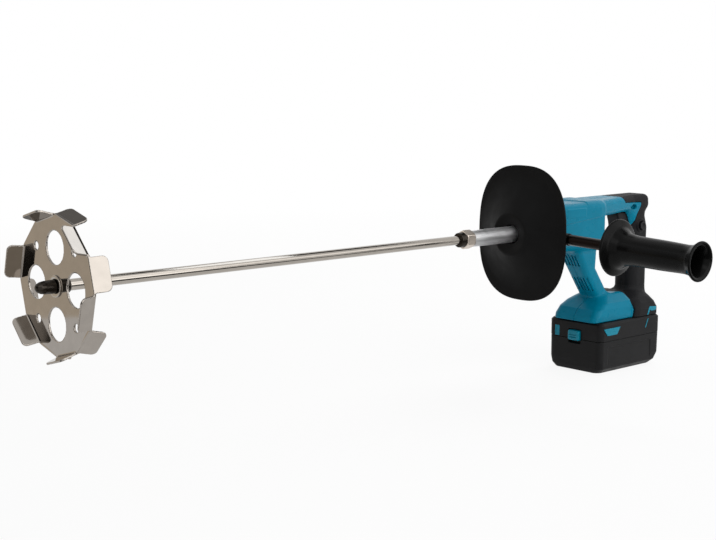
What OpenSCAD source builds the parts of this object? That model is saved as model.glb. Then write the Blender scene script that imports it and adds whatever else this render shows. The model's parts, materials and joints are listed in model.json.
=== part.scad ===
// Cordless mixing drill: inline motor housing with a D-shaped handle, a slide-on battery,
// a side handle on a clamp band, a splash guard and a long rod with a toothed mixing disc.
// Millimetres. Origin at the centre of the battery's underside, the disc towards -X, +Z up.

/* [Drive line] */
// Height of the spindle axis above the battery's underside
spindle_z = 171.6; // [168:0.2:176]
// Distance from the origin forward to the middle plane of the mixing disc
disc_reach = 743; // [500:1:900]
// Diameter of the mixing rod
rod_d = 10; // [8:0.5:12]
// Outer diameter of the coupling sleeve
sleeve_d = 18; // [16:0.5:22]
// Length of the round part of the coupling sleeve
sleeve_len = 73; // [50:1:90]
// Width across the flats of the sleeve's hexagon
sleeve_flats = 18; // [16:0.5:22]
// Length of the sleeve's hexagon
sleeve_hex_len = 12; // [8:1:16]
// Length of the sleeve's tapered nose
sleeve_nose_len = 9.5; // [5:0.5:14]
// Diameter of the gearbox spindle in its bearings
spindle_d = 15; // [13:0.5:16]
// Diameter of the spindle's front end inside the sleeve
spindle_end_d = 12; // [8:0.5:13]

/* [Mixing disc] */
// Distance from the centre to each fold line of the disc
disc_apothem = 59.5; // [52:0.5:70]
// Sheet thickness of the disc
disc_t = 2; // [1.5:0.25:3]
// Number of bent tabs, half of them to each side
tab_count = 12; // [8:2:12]
// Width of one tab
tab_w = 30; // [20:0.5:30.5]
// Length of one tab beyond its fold
tab_len = 15.5; // [12:0.5:22]
// Corner radius of a tab
tab_corner = 5; // [3:0.5:8]
// Lean of a tab outwards from square to the disc, in degrees
tab_lean = 17; // [5:1:30]
// Radius of the large flow holes
flow_hole_r = 14.5; // [10:0.5:16]
// Distance of the large flow holes from the centre
flow_hole_pitch = 32.6; // [29:0.2:36]
// Radius of the small holes between them
small_hole_r = 3.7; // [2:0.1:5]
// Distance of the small holes from the centre
small_hole_pitch = 44.5; // [42:0.5:48]
// Outer diameter of the washers on the disc
washer_d = 19; // [17:0.5:26]
// Thickness of the washers on the disc
washer_t = 1.5; // [1:0.25:2.5]
// Diameter of the threaded rod end that the disc sits on
stud_d = 8; // [6:0.5:8.5]
// Diameter of the cap nut and the collar that hold the disc
cap_d = 12; // [11:0.5:15]
// Length of the cap nut in front of the disc
cap_len = 17.5; // [16:1:28]
// Length of the collar behind the disc
collar_len = 8; // [5:0.5:12]

/* [Motor housing] */
// Half width of the motor housing
barrel_half_w = 31; // [30:0.5:34]
// Height of the housing's top face
top_z = 203; // [202:0.5:206]
// Height of the motor housing's underside
barrel_low_z = 146; // [144:0.5:146.5]
// Rear end of the wide motor housing
barrel_rear_x = -42; // [-46:0.5:-38]
// Rounding of the motor housing's upper edges
barrel_round = 9; // [6:0.5:12]
// Rounding of the motor housing's lower edges
barrel_low_round = 19; // [14:0.5:22]
// Wall thickness of the housing shells
wall = 3; // [2.5:0.25:3.5]

/* [Handle] */
// Height of the handle's top at its rear end
grip_top_z = 205; // [201:0.5:206]
// Half width of the rear grip
grip_half_w = 15.5; // [15:0.5:18]
// Front face of the rear grip
grip_front_x = 30; // [28:0.5:31]
// Depth of the rear grip from front to back
grip_depth = 34; // [34:0.5:38]
// Height of the underside of the handle's top bar
loop_top_z = 186; // [183:0.5:187]
// Half width of the front leg
leg_half_w = 15; // [13:0.5:17]
// Depth of the front leg from front to back
leg_depth = 25; // [22:0.5:27]
// Front face of the leg at its bend
leg_bend_x = -61; // [-63:0.5:-58]
// Height of the leg's bend
leg_bend_z = 122; // [119:0.5:125]
// Front face of the leg where it meets the foot
leg_foot_x = -30; // [-33:0.5:-28]
// Diameter of the raised ring round the lock button
boss_d = 16; // [14:0.5:18]
// Diameter of the lock button
lock_d = 10; // [8:0.5:12]
// Travel of the lock button
lock_travel = 2.5; // [1.5:0.25:3]
// Half width of the trigger
trigger_half_w = 9; // [7:0.5:9]
// Travel of the trigger
trigger_travel = 7; // [4:0.5:8]
// How far the trigger stands out of the grip
trigger_reach = 22; // [14:0.5:22]

/* [Foot and battery] */
// Length of the battery
batt_len = 116; // [112:1:124]
// Width of the battery
batt_w = 78; // [74:1:84]
// Height of the battery's lower case
batt_seam_z = 38; // [36:0.5:41]
// Height of the battery's top face
batt_top_z = 59.7; // [58:0.1:61]
// Corner radius of the battery in plan
batt_corner = 7; // [5:0.5:10]
// Half width of the foot's front at its bottom
foot_half_w = 33; // [31:0.5:34]
// Half width of the foot's rear at its bottom
foot_rear_half_w = 38; // [36:0.5:38.5]
// Height of the foot's shoulder
foot_shoulder_z = 81; // [78:0.5:84]
// Height of the foot's crown between leg and grip
foot_crown_z = 91; // [87:0.5:94]
// Half width of the rail that the battery slides on
rail_half_w = 24; // [20:0.5:26]
// Depth of the rail below the foot
rail_drop = 9.8; // [8:0.2:11]
// Thickness of the rail's flange
rail_flange_t = 5; // [4:0.25:6]
// Half width of the rail's web
rail_web_half_w = 18; // [15:0.5:20]
// Half width of the battery's release button
button_half_w = 8.5; // [7:0.5:12]
// Height of the release button
button_h = 12.5; // [11:0.5:14]
// Travel of the release button
button_travel = 3; // [2:0.25:3.5]
// Length of one battery cell
cell_len = 65; // [60:0.5:66]

/* [Gearbox and motor] */
// Outer diameter of the gear case's nose
nose_d = 44; // [42:0.5:48]
// Outer diameter of the spindle bearings
bearing_d = 35; // [33:0.5:36]
// Gear module
gear_m = 0.9; // [0.85:0.05:0.95]
// Teeth on the motor pinion
sun_teeth = 12; // [12:1:12]
// Teeth on each planet gear
planet_teeth = 18; // [18:1:18]
// Face width of the gears
gear_w = 11; // [8:0.5:12]
// Outer diameter of the motor stator
stator_d = 46; // [42:0.5:47]
// Diameter of the rotor
rotor_d = 26; // [22:0.5:28]
// Diameter of the motor shaft
shaft_d = 6; // [5:0.5:7]

/* [Side handle] */
// Distance from the origin forward to the side handle's axis
handle_reach = 148; // [146.4:0.2:148.4]
// Droop of the side handle below level, in degrees
handle_droop = 2.5; // [0:0.5:10]
// Width of the clamp band
band_w = 14; // [10:0.5:16]
// Thickness of the clamp band
band_t = 5; // [4:0.5:6]
// Distance from the spindle axis at which the clamp's boss ends
clamp_boss_end = 63; // [45:1:64]
// Diameter of the handle's bar
bar_d = 12; // [10:0.5:14]
// Distance of the flange's rim from the spindle axis
flange_at = 127.4; // [110:0.5:140]
// Radius of the flange
flange_r = 30.8; // [26:0.2:34]
// Radius of the grip next to the flange
side_grip_r = 16; // [14:0.25:18]
// Distance of the grip's end from the spindle axis
side_grip_end = 232; // [215:1:245]
// Radius of the grip's flared end
flare_r = 21.1; // [19:0.1:24]
// Depth of the hollow in the grip's end
hollow_depth = 48; // [30:1:60]

/* [Splash guard] */
// Half width of the splash guard
guard_half_w = 64; // [60:0.5:72]
// Half height of the splash guard
guard_half_h = 76.3; // [70:0.5:80]
// Squareness of the guard's outline, 2 is an ellipse
guard_square = 2.6; // [2:0.05:4]
// Thickness of the guard's sheet
guard_t = 2.5; // [1.5:0.25:3]
// Distance from the side handle's axis forward to the guard's foremost ridge
guard_ahead = 29; // [27:0.5:31]
// How far the guard's rim lies behind that ridge
guard_sweep = 19.6; // [12:0.2:19.6]
// Radius of the ridge round the guard's centre
guard_ridge_r = 23; // [20:0.5:28]
// Depth of the funnel inside the ridge
guard_funnel = 3; // [1:0.5:5]

/* [Clearances] */
// Gap between parts that slide past each other
slide_gap = 0.4; // [0.3:0.05:0.5]
// Radial gap of a shaft in its hole
run_gap = 0.05; // [0.02:0.01:0.09]
// Gap at a seat between separate bodies
seat_gap = 0.3; // [0.2:0.05:0.4]

/* [Hidden] */

$fn = 48;
eps = 0.01;
big = 400;

teal = [0.0, 0.55, 0.66];
black = [0.09, 0.09, 0.10];
steel = [0.70, 0.70, 0.68];
dark_steel = [0.30, 0.30, 0.31];
copper = [0.72, 0.42, 0.22];

// Heights that the foot and the battery share
foot_low_z = batt_top_z + seat_gap;
rail_low_z = foot_low_z - rail_drop;
rail_flange_z = rail_low_z + rail_flange_t;
rail_front_x = -batt_len / 2 + 28;
rail_rear_x = batt_len / 2 - 8;
channel_floor_z = rail_low_z - seat_gap;
button_z = batt_seam_z - 2;
button_x = -batt_len / 2 - 3.5;
button_depth = 8.5;
arm_half_w = button_half_w - 3;
arm_t = 3;
arm_z = button_z + 7.6;
hook_x = rail_front_x - 4;
hook_len = 5;

// Foot, and the cells in the battery
foot_front_x = -batt_len / 2 - 3;
foot_split_x = 16;
foot_wall = 4;
board_x = foot_front_x + 37;
board_t = 1.6;
cells_per_row = 5;
cell_pitch = (batt_len - 19) / cells_per_row;
cell_d = cell_pitch - 1.1;
cell_gap = 0.5;
case_wall = 3;

// Grip section
bar_core_half_w = grip_half_w - 1.5;
grip_mid_x = grip_front_x + grip_depth / 2;
grip_rear_x = grip_front_x + grip_depth;

// Places along the drive line
nose_front_x = -handle_reach - band_w / 2 - 5;
sleeve_rear_x = nose_front_x - 4.4;
sleeve_hex_x = sleeve_rear_x - sleeve_len;
sleeve_nose_x = sleeve_hex_x - sleeve_hex_len;
sleeve_front_x = sleeve_nose_x - sleeve_nose_len;
spindle_end_len = 26;
case_front_x = -handle_reach + band_w / 2 + seat_gap;
ring_x = case_front_x + 1.6;
case_rear_x = ring_x + gear_w + 2;
plate_t = 2.4;
barrel_front_x = case_rear_x + plate_t + 0.1;
spigot_len = 11;
guard_spigot_d = nose_d - 8;
guard_x = -handle_reach - guard_ahead;
guard_hole_r = sleeve_d / 2 + 1.6;
guard_spigot_x = nose_front_x - 3.4;
gear_x = ring_x + 1 + gear_w / 2;
motor_bearing_r = 9.5;
motor_bearing_w = 5;
fan_t = 6;
rear_bearing_x = barrel_rear_x - wall - 2.1 - motor_bearing_w;
fan_x = rear_bearing_x - 2.5 - fan_t;
stator_x = barrel_front_x + spigot_len + 13;
stator_len = fan_x - 3 - stator_x;
ring_teeth = sun_teeth + 2 * planet_teeth;
gear_centre = gear_m * (sun_teeth + planet_teeth) / 2;
ring_outer_r = gear_m * ring_teeth / 2 + 3;
case_bolt_r = ring_outer_r + 3.6;
case_bolt_hole_r = 1.6;
case_outer_r = case_bolt_r + 3.3;
barrel_bore_r = spindle_z - barrel_low_z - 2;
carrier_x = gear_x - gear_w / 2 - 1;
carrier_t = 2.6;
bearing_w = 7;

// Faces of the washers on both sides of the disc
disc_x = -disc_reach;
disc_front_x = disc_x - disc_t / 2 - washer_t;
disc_back_x = disc_x + disc_t / 2 + washer_t;

// Side handle, measured outwards from the spindle axis
band_in_r = nose_d / 2 + run_gap;
band_out_r = band_in_r + band_t;
bar_start = clamp_boss_end;
clamp_neck_r = bar_d / 2 + 0.8;
bar_end = side_grip_end - hollow_depth - 6;

// Lock button and trigger
boss_x = 45;
boss_z = 167;
trigger_z = 168;
trigger_h = 34;
switch_front_x = grip_front_x + wall + trigger_travel + 1;
switch_h = 32;
switch_w = 15.5;

// Housing screws: x, z of each one
screw_places = [
  [grip_front_x - 2, loop_top_z + 5], [barrel_rear_x + 14, top_z - 7],
  [barrel_front_x + 16.6, barrel_low_z + 4], [leg_bend_x + 9, leg_bend_z + 13],
  [grip_mid_x - 1, foot_crown_z + 15], [foot_split_x + 8, foot_low_z + 12],
  [foot_front_x + 17, foot_low_z + 7]
];
screw_r = 1.6;
screw_play = 0.1;
screw_head_r = 3.2;
screw_half_len = 10;
screw_boss_r = 5;

// Involute gear outline. The tooth is thinned by lash at the pitch circle.
function inv_angle(rb, r) = r <= rb ? 0 : tan(acos(rb / r)) * 180 / PI - acos(rb / r);
function tooth_half(z, m, lash, r) =
  let (rp = m * z / 2, rb = rp * cos(20))
  90 / z - lash / rp * 90 / PI + inv_angle(rb, rp) - inv_angle(rb, r);
function gear_points(z, m, add, ded, lash, steps = 4) =
  let (rp = m * z / 2, ra = rp + add * m, rd = rp - ded * m, rb = rp * cos(20))
  let (r0 = max(rb, rd))
  let (rise = [for (i = [0:steps]) r0 + (ra - r0) * i / steps])
  [for (k = [0:z - 1]) each concat(
    rd < r0 ? [let (a = k * 360 / z - tooth_half(z, m, lash, r0)) [rd * cos(a), rd * sin(a)]] : [],
    [for (r = rise) let (a = k * 360 / z - tooth_half(z, m, lash, r)) [r * cos(a), r * sin(a)]],
    [for (i = [steps:-1:0]) let (r = rise[i], a = k * 360 / z + tooth_half(z, m, lash, r))
      [r * cos(a), r * sin(a)]],
    rd < r0 ? [let (a = k * 360 / z + tooth_half(z, m, lash, r0)) [rd * cos(a), rd * sin(a)]] : []
  )];

// Superellipse outline with the given half axes
function super_points(a, b, p, n) = [for (i = [0:n - 1]) let (t = i * 360 / n)
  [a * sign(cos(t)) * pow(abs(cos(t)), 2 / p), b * sign(sin(t)) * pow(abs(sin(t)), 2 / p)]];

// Places its children with their +Z along the drive line's +X, starting at x
module on_axis(x, dy = 0, dz = 0) {
  translate([x, dy, spindle_z + dz]) rotate([0, 90, 0]) children();
}

// Plain cylinder along the drive line from x0 to x1
module rod_x(x0, x1, r, n = 48) {
  on_axis(x0) cylinder(h = x1 - x0, r = r, $fn = n);
}

// Places its children with +Z along the side handle, outwards from the spindle axis
module on_handle() {
  translate([-handle_reach, 0, spindle_z]) rotate([90 + handle_droop, 0, 0]) children();
}

// Thin rounded plate in plan, used as one section of a hull
module section(x0, x1, half_w, r, z, t = 0.5, n = 24) {
  for (x = [x0 + r, x1 - r], y = [-half_w + r, half_w - r]) {
    translate([x, y, z]) cylinder(h = t, r = r, $fn = n);
  }
}

// Box with all edges rounded
module soft_box(x0, x1, y0, y1, z0, z1, r, n = 24) {
  hull() {
    for (x = [x0 + r, x1 - r], y = [y0 + r, y1 - r], z = [z0 + r, z1 - r]) {
      translate([x, y, z]) sphere(r = r, $fn = n);
    }
  }
}

// Long box along X with its own rounding for the upper and the lower edges
module barrel_box(x0, x1, half_w, z0, z1, r_low, r_top, n = 32) {
  hull() {
    for (y = [-half_w + r_low, half_w - r_low]) {
      translate([x0, y, z0 + r_low]) rotate([0, 90, 0]) cylinder(h = x1 - x0 - 8, r = r_low, $fn = n);
      translate([x1 - 8, y, z0 + r_low]) scale([8 / r_low, 1, 1]) sphere(r = r_low, $fn = n);
    }
    for (y = [-half_w + r_top, half_w - r_top]) {
      translate([x0, y, z1 - r_top]) rotate([0, 90, 0]) cylinder(h = x1 - x0 - 8, r = r_top, $fn = n);
      translate([x1 - 8, y, z1 - r_top]) scale([8 / r_top, 1, 1]) sphere(r = r_top, $fn = n);
    }
  }
}

// Outer form of the whole shell: motor housing, top bar, grip, leg and foot
module shell_form() {
  barrel_box(barrel_front_x, barrel_rear_x, barrel_half_w, barrel_low_z, top_z,
    barrel_low_round, barrel_round);
  hull() {
    soft_box(barrel_rear_x - 34, barrel_rear_x + 6, 3 - barrel_half_w, barrel_half_w - 3,
      loop_top_z - 2, top_z, 7);
    soft_box(grip_front_x, grip_rear_x, -grip_half_w - 1, grip_half_w + 1,
      loop_top_z, grip_top_z, 7);
  }
  hull() {
    section(grip_front_x - 18, grip_rear_x - 2, grip_half_w, 12, loop_top_z + 4);
    section(grip_front_x - 6, grip_rear_x - 4, grip_half_w, 12, loop_top_z - 9);
    section(grip_front_x, grip_rear_x - 1, grip_half_w, 13, loop_top_z - 18);
  }
  hull() {
    section(grip_front_x, grip_rear_x - 5, grip_half_w, 13, loop_top_z - 8);
    section(grip_front_x, grip_rear_x + 1, grip_half_w, 13, loop_top_z - 22);
    section(grip_front_x, grip_rear_x - 0.5, grip_half_w, 13, foot_crown_z - 9);
  }
  hull() {
    section(leg_bend_x - 23, leg_bend_x + leg_depth - 4, leg_half_w + 3, 8, barrel_low_z + 10);
    section(leg_bend_x, leg_bend_x + leg_depth, leg_half_w, 8, leg_bend_z);
  }
  hull() {
    section(leg_bend_x, leg_bend_x + leg_depth, leg_half_w, 8, leg_bend_z);
    section(leg_foot_x, leg_foot_x + leg_depth, leg_half_w, 8, foot_shoulder_z + 3);
  }
  hull() {
    section(foot_front_x, foot_split_x, foot_half_w, 10, foot_low_z, 1);
    section(foot_front_x + 23, foot_split_x, foot_half_w - 3, 10, foot_shoulder_z - 2);
    section(foot_front_x + 33, foot_split_x, foot_half_w - 14, 10, foot_crown_z - 1.5);
  }
  hull() {
    section(foot_split_x - 8, batt_len / 2, foot_rear_half_w, 10, foot_low_z, 1);
    section(foot_split_x - 6, batt_len / 2, foot_rear_half_w, 10, foot_shoulder_z - 13);
    section(foot_split_x - 3, batt_len / 2 - 1, foot_rear_half_w - 3, 12, foot_shoulder_z - 6);
    section(foot_split_x - 2, batt_len / 2 - 4, foot_rear_half_w - 9, 13, foot_shoulder_z);
    section(foot_split_x + 8, batt_len / 2 - 2, grip_half_w + 3, 13, foot_crown_z - 5);
  }
}

// Space inside the shell
module shell_core() {
  rod_x(barrel_front_x - 20, barrel_rear_x - wall, barrel_bore_r, 64);
  translate([barrel_rear_x - 30, -bar_core_half_w, loop_top_z + wall]) {
    cube([grip_front_x - barrel_rear_x + 50, 2 * bar_core_half_w, top_z - loop_top_z - 2 * wall - 2]);
  }
  translate([grip_front_x + wall, -grip_half_w + wall + 1, foot_crown_z + 1]) {
    cube([grip_depth - 2 * wall, 2 * (grip_half_w - wall - 1), top_z - foot_crown_z - 2 * wall - 4]);
  }
  rotate([90, 0, 0]) linear_extrude(height = 2 * (leg_half_w - wall), center = true) {
    polygon([
      [leg_bend_x - 7, barrel_low_z + 6], [leg_bend_x + 11, barrel_low_z + 6],
      [leg_bend_x + leg_depth - 8, leg_bend_z - 1], [leg_foot_x + leg_depth - 10, foot_shoulder_z + 3],
      [leg_foot_x + 5, foot_shoulder_z + 3], [leg_bend_x + 7, leg_bend_z - 1]
    ]);
  }
  translate([foot_front_x + 29, -foot_half_w + 8, foot_low_z + foot_wall]) {
    cube([batt_len / 2 - 8 - foot_front_x - 29, 2 * (foot_half_w - 8), 10]);
  }
  translate([foot_front_x + 41, -bar_core_half_w, foot_low_z + foot_wall]) {
    cube([batt_len / 2 - 8 - foot_front_x - 41, 2 * bar_core_half_w, foot_crown_z - foot_low_z - 10]);
  }
}

// Room for the rail plate in the foot's underside
module rail_pocket() {
  translate([rail_front_x - 2 - slide_gap, -rail_half_w - 4, foot_low_z - 1]) {
    cube([rail_rear_x - rail_front_x + 4 + slide_gap, 2 * rail_half_w + 8, 5.01]);
  }
}

// The part of the shell that is covered in black rubber, for the side y < 0
module cover_zone() {
  rotate([90, 0, 0]) linear_extrude(height = big, center = true) {
    polygon([
      [grip_front_x - 30, top_z + 9], [grip_front_x - 22, top_z - 6], [grip_front_x + 12, top_z - 7.5],
      [grip_front_x + 10, loop_top_z + 4], [grip_front_x + 4, loop_top_z - 3],
      [grip_front_x - 3, loop_top_z - 10], [grip_front_x - 8, loop_top_z - 14],
      [grip_front_x - 20, loop_top_z - 16], [grip_front_x - 20, foot_crown_z + 3],
      [big, foot_crown_z + 3], [big, top_z + 9]
    ]);
  }
  for (s = [-1, 1]) hull() {
    cover_plan(s, -4, foot_low_z - 1);
    cover_plan(s, 5, foot_crown_z + 3);
  }
}

module cover_plan(s, shift, z) {
  translate([shift, 0, z]) linear_extrude(height = 0.01) {
    polygon([
      [foot_split_x - 30, 0], [foot_split_x - 2, s * (foot_half_w - 3)],
      [foot_split_x - 2, s * batt_w], [batt_len, s * batt_w], [batt_len, 0]
    ]);
  }
}

// Places its children at each housing screw, with +Z towards the side that the head is on
module at_screws() {
  for (i = [0:len(screw_places) - 1]) {
    translate([screw_places[i][0], 0, screw_places[i][1]]) rotate([i == 0 ? 90 : -90, 0, 0]) children();
  }
}

// Blind bores for the housing screws, with a counterbore for the head
module screw_holes() {
  at_screws() {
    translate([0, 0, -screw_half_len - 0.5]) cylinder(h = big, r = screw_r + screw_play, $fn = 20);
    translate([0, 0, screw_half_len - 3]) cylinder(h = big, r = screw_head_r + run_gap, $fn = 24);
  }
}

// Bosses that the screws run through, inside the shell
module screw_bosses() {
  at_screws() cylinder(h = big, r = screw_boss_r, center = true, $fn = 24);
}

// Opening for the trigger in the front of the grip
module trigger_slot() {
  translate([grip_front_x - 20, -trigger_half_w - slide_gap, trigger_z - trigger_h / 2 - slide_gap]) {
    cube([20 + wall + 2, 2 * (trigger_half_w + slide_gap), trigger_h + 2 * slide_gap]);
  }
}

// Bore for the lock button on the side y < 0
module lock_bore() {
  translate([boss_x, 0, boss_z]) rotate([90, 0, 0]) {
    cylinder(h = 60, r = lock_d / 2 + slide_gap, $fn = 32);
  }
}

// Whole hollow shell, before it is split
module shell() {
  difference() {
    shell_form();
    difference() {
      shell_core();
      screw_bosses();
    }
    screw_holes();
    rail_pocket();
    trigger_slot();
    lock_bore();
    rod_x(barrel_front_x - 20, barrel_front_x, 60);
  }
}

module half_space(s) {
  translate([-big / 2, s < 0 ? -big : 0, -eps]) cube([big, big, big]);
}

module housing(s) {
  difference() {
    intersection() {
      shell();
      half_space(s);
    }
    cover_zone();
  }
}

module grip_cover(s) {
  intersection() {
    shell();
    half_space(s);
    cover_zone();
  }
}

// Raised panel on the side of the motor housing
module side_panel(s) {
  translate([barrel_front_x + 9, s * (barrel_half_w - 0.3) - 1.5, loop_top_z + 1]) {
    cube([34, 3, top_z - loop_top_z - 8]);
  }
}

module housing_left() {
  color(teal) {
    housing(-1);
    side_panel(-1);
  }
}

module housing_right() {
  color(teal) {
    housing(1);
    side_panel(1);
  }
}

module grip_cover_left() {
  color(black) {
    grip_cover(-1);
    translate([boss_x, -grip_half_w + 1, boss_z]) rotate([90, 0, 0]) difference() {
      cylinder(h = 2.6, r = boss_d / 2);
      translate([0, 0, -1]) cylinder(h = 6, r = lock_d / 2 + slide_gap);
    }
  }
}

module grip_cover_right() {
  color(black) grip_cover(1);
}

module housing_screws() {
  color(dark_steel) at_screws() {
    cylinder(h = 2 * screw_half_len, r = screw_r, center = true, $fn = 20);
    translate([0, 0, screw_half_len - 3]) cylinder(h = 2.6, r = screw_head_r, $fn = 24);
  }
}

// Gear case: a nose for the clamp band and the guard, then the drum that holds the ring gear
module gear_case() {
  color(dark_steel) difference() {
    union() {
      rod_x(guard_spigot_x, nose_front_x + 1, guard_spigot_d / 2, 64);
      rod_x(nose_front_x, case_front_x + 1, nose_d / 2, 64);
      rod_x(case_front_x, case_rear_x, case_outer_r, 64);
    }
    rod_x(guard_spigot_x - 1, nose_front_x + 3, spindle_d / 2 + 1.5);
    rod_x(nose_front_x + 2, ring_x + 1, bearing_d / 2 + 0.02, 64);
    rod_x(ring_x, case_rear_x + 1, ring_outer_r + 0.02, 64);
    case_bolt_holes(case_front_x - 1);
    for (a = [45:90:315]) on_axis(case_front_x - 1) rotate([0, 0, a]) {
      translate([case_bolt_r, 0, 0]) cylinder(h = 4, r = 2.9, $fn = 24);
    }
  }
}

module case_bolt_holes(x) {
  for (a = [45:90:315]) on_axis(x) rotate([0, 0, a]) {
    translate([case_bolt_r, 0, 0]) cylinder(h = 60, r = case_bolt_hole_r, $fn = 24);
  }
}

module gear_case_screws() {
  color(steel) for (a = [45:90:315]) on_axis(case_front_x + 0.4) rotate([0, 0, a]) {
    translate([case_bolt_r, 0, 0]) {
      cylinder(h = 2.6, r = 2.8, $fn = 24);
      cylinder(h = case_rear_x + plate_t - case_front_x - 0.4, r = case_bolt_hole_r - 0.02, $fn = 24);
    }
  }
}

// Plate between gearbox and motor, with the seat of the front motor bearing
module motor_plate() {
  color(steel) difference() {
    union() {
      rod_x(case_rear_x, case_rear_x + plate_t, case_outer_r, 64);
      rod_x(case_rear_x + 1, barrel_front_x + spigot_len, barrel_bore_r - 0.05, 64);
    }
    rod_x(case_rear_x - 1, barrel_front_x + spigot_len + 1, 7.5);
    rod_x(barrel_front_x + spigot_len - motor_bearing_w, barrel_front_x + spigot_len + 1, motor_bearing_r);
    rod_x(case_rear_x + 3.5, barrel_front_x + spigot_len - motor_bearing_w - 2, barrel_bore_r - 4);
    case_bolt_holes(case_front_x);
  }
}

module ring_gear() {
  color(steel) on_axis(ring_x) difference() {
    cylinder(h = gear_w + 2, r = ring_outer_r, $fn = 64);
    translate([0, 0, -1]) linear_extrude(height = gear_w + 4) rotate(180 / ring_teeth) {
      polygon(gear_points(ring_teeth, gear_m, 1.2, 0.75, -0.14));
    }
  }
}

// Ball bearing drawn as one solid ring with a grooved face
module bearing(x, r_in, r_out, w) {
  on_axis(x) difference() {
    cylinder(h = w, r = r_out, $fn = 48);
    translate([0, 0, -1]) cylinder(h = w + 2, r = r_in, $fn = 48);
    for (z = [-1, w - 0.6]) translate([0, 0, z]) difference() {
      cylinder(h = 1.6, r = r_out - 2.5, $fn = 48);
      cylinder(h = 1.6, r = r_in + 2, $fn = 48);
    }
  }
}

module spindle_bearing_front() {
  color(steel) bearing(nose_front_x + 3, spindle_d / 2 + run_gap, bearing_d / 2, bearing_w);
}

module spindle_bearing_rear() {
  color(steel) bearing(carrier_x - carrier_t - bearing_w - 0.8, spindle_d / 2 + run_gap,
    bearing_d / 2, bearing_w);
}

module motor_stator() {
  color(dark_steel) on_axis(stator_x) difference() {
    cylinder(h = stator_len, r = stator_d / 2, $fn = 64);
    translate([0, 0, -1]) cylinder(h = stator_len + 2, r = rotor_d / 2 + 0.5, $fn = 64);
    for (a = [0:60:300]) rotate([0, 0, a]) translate([17.5, 0, -1]) {
      cylinder(h = stator_len + 2, r = 3.6, $fn = 24);
    }
  }
}

module motor_windings() {
  color(copper) for (a = [0:60:300]) on_axis(stator_x - 2) rotate([0, 0, a]) {
    translate([17.5, 0, 0]) cylinder(h = stator_len + 4, r = 3.5, $fn = 24);
  }
}

module motor_bearing_front() {
  color(steel) bearing(barrel_front_x + spigot_len - motor_bearing_w, shaft_d / 2 + run_gap,
    motor_bearing_r, motor_bearing_w);
}

module motor_bearing_rear() {
  color(steel) bearing(rear_bearing_x, shaft_d / 2 + run_gap, motor_bearing_r, motor_bearing_w);
}

// Spider in the rear of the motor housing that holds the rear motor bearing
module bearing_spider() {
  color(black) on_axis(rear_bearing_x) difference() {
    cylinder(h = motor_bearing_w, r = barrel_bore_r - 0.02, $fn = 64);
    translate([0, 0, -1]) cylinder(h = motor_bearing_w + 2, r = motor_bearing_r);
    for (a = [0:60:300]) rotate([0, 0, a]) translate([16.5, 0, -1]) cylinder(h = 8, r = 4.5, $fn = 24);
  }
}

module switch_body() {
  color(black) translate([switch_front_x, 6.5 - switch_w, trigger_z - switch_h / 2]) {
    cube([grip_rear_x - wall - 0.3 - switch_front_x, switch_w, switch_h]);
  }
}

module control_board() {
  color([0.10, 0.35, 0.22]) translate([board_x, -20, foot_low_z + 4.2]) cube([60, 40, board_t]);
  color(dark_steel) for (k = [0:2]) {
    translate([board_x + 8 + 12 * k, -13, foot_low_z + 4.1 + board_t]) cube([8, 8, 5]);
  }
}

// T-shaped rail under the foot that the battery slides on
module battery_rail() {
  color(black) difference() {
    union() {
      translate([rail_front_x - 2, -rail_half_w - 3.6, foot_low_z]) {
        cube([rail_rear_x - rail_front_x + 3.6, 2 * rail_half_w + 7.2, 3.9]);
      }
      translate([rail_front_x, -rail_web_half_w, rail_low_z]) {
        cube([rail_rear_x - rail_front_x, 2 * rail_web_half_w, rail_drop + 0.5]);
      }
      translate([rail_front_x, -rail_half_w, rail_low_z]) {
        cube([rail_rear_x - rail_front_x, 2 * rail_half_w, rail_flange_t]);
      }
    }
    translate([rail_front_x - 1, -6.5, rail_low_z - 1]) cube([14, 13, 4]);
    for (y = [-12, 12]) {
      translate([rail_front_x - 3, y - 0.5, rail_low_z + 3.5]) cube([14, 1, 5]);
    }
  }
}

module tool_terminals() {
  color(copper) for (y = [-12, 12]) {
    translate([rail_front_x - 9, y - 0.5, rail_low_z + 3.5]) cube([19, 1, 5]);
  }
}

// Front surface of the guard: distance behind the ridge at a given radius
function guard_depth(r) = r < guard_ridge_r
  ? guard_funnel * pow((guard_ridge_r - r) / (guard_ridge_r - guard_hole_r), 1.4)
  : guard_sweep * (1 - pow(1 - min(1, (r - guard_ridge_r) / (66 - guard_ridge_r)), 1.5));

guard_radii = [for (i = [0:24]) guard_hole_r + (92 - guard_hole_r) * i / 24];

// Domed sheet with a superellipse outline, its rim swept back towards the tool
module splash_guard() {
  color(black) {
    intersection() {
      on_axis(guard_x) rotate_extrude($fn = 96) {
        polygon(concat(
          [for (r = guard_radii) [r, guard_depth(r)]],
          [for (i = [24:-1:0]) let (r = guard_radii[i]) [r, guard_depth(r) + guard_t]]
        ));
      }
      on_axis(guard_x - 5) linear_extrude(height = 40) {
        polygon(super_points(guard_half_h, guard_half_w, guard_square, 72));
      }
    }
    on_axis(guard_x + 2) difference() {
      cylinder(h = nose_front_x - guard_x - 2.4, r = guard_spigot_d / 2 + 2.2, $fn = 64);
      translate([0, 0, -1]) cylinder(h = 20, r = guard_spigot_d / 2 + 0.02, $fn = 64);
    }
  }
}

// Clamp ring that holds the guard's collar on the gear case
module guard_ring() {
  color(dark_steel) on_axis(nose_front_x - 5.4) difference() {
    cylinder(h = 5, r = guard_spigot_d / 2 + 4, $fn = 64);
    translate([0, 0, -1]) cylinder(h = 9, r = guard_spigot_d / 2 + 2.22, $fn = 64);
  }
}

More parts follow.
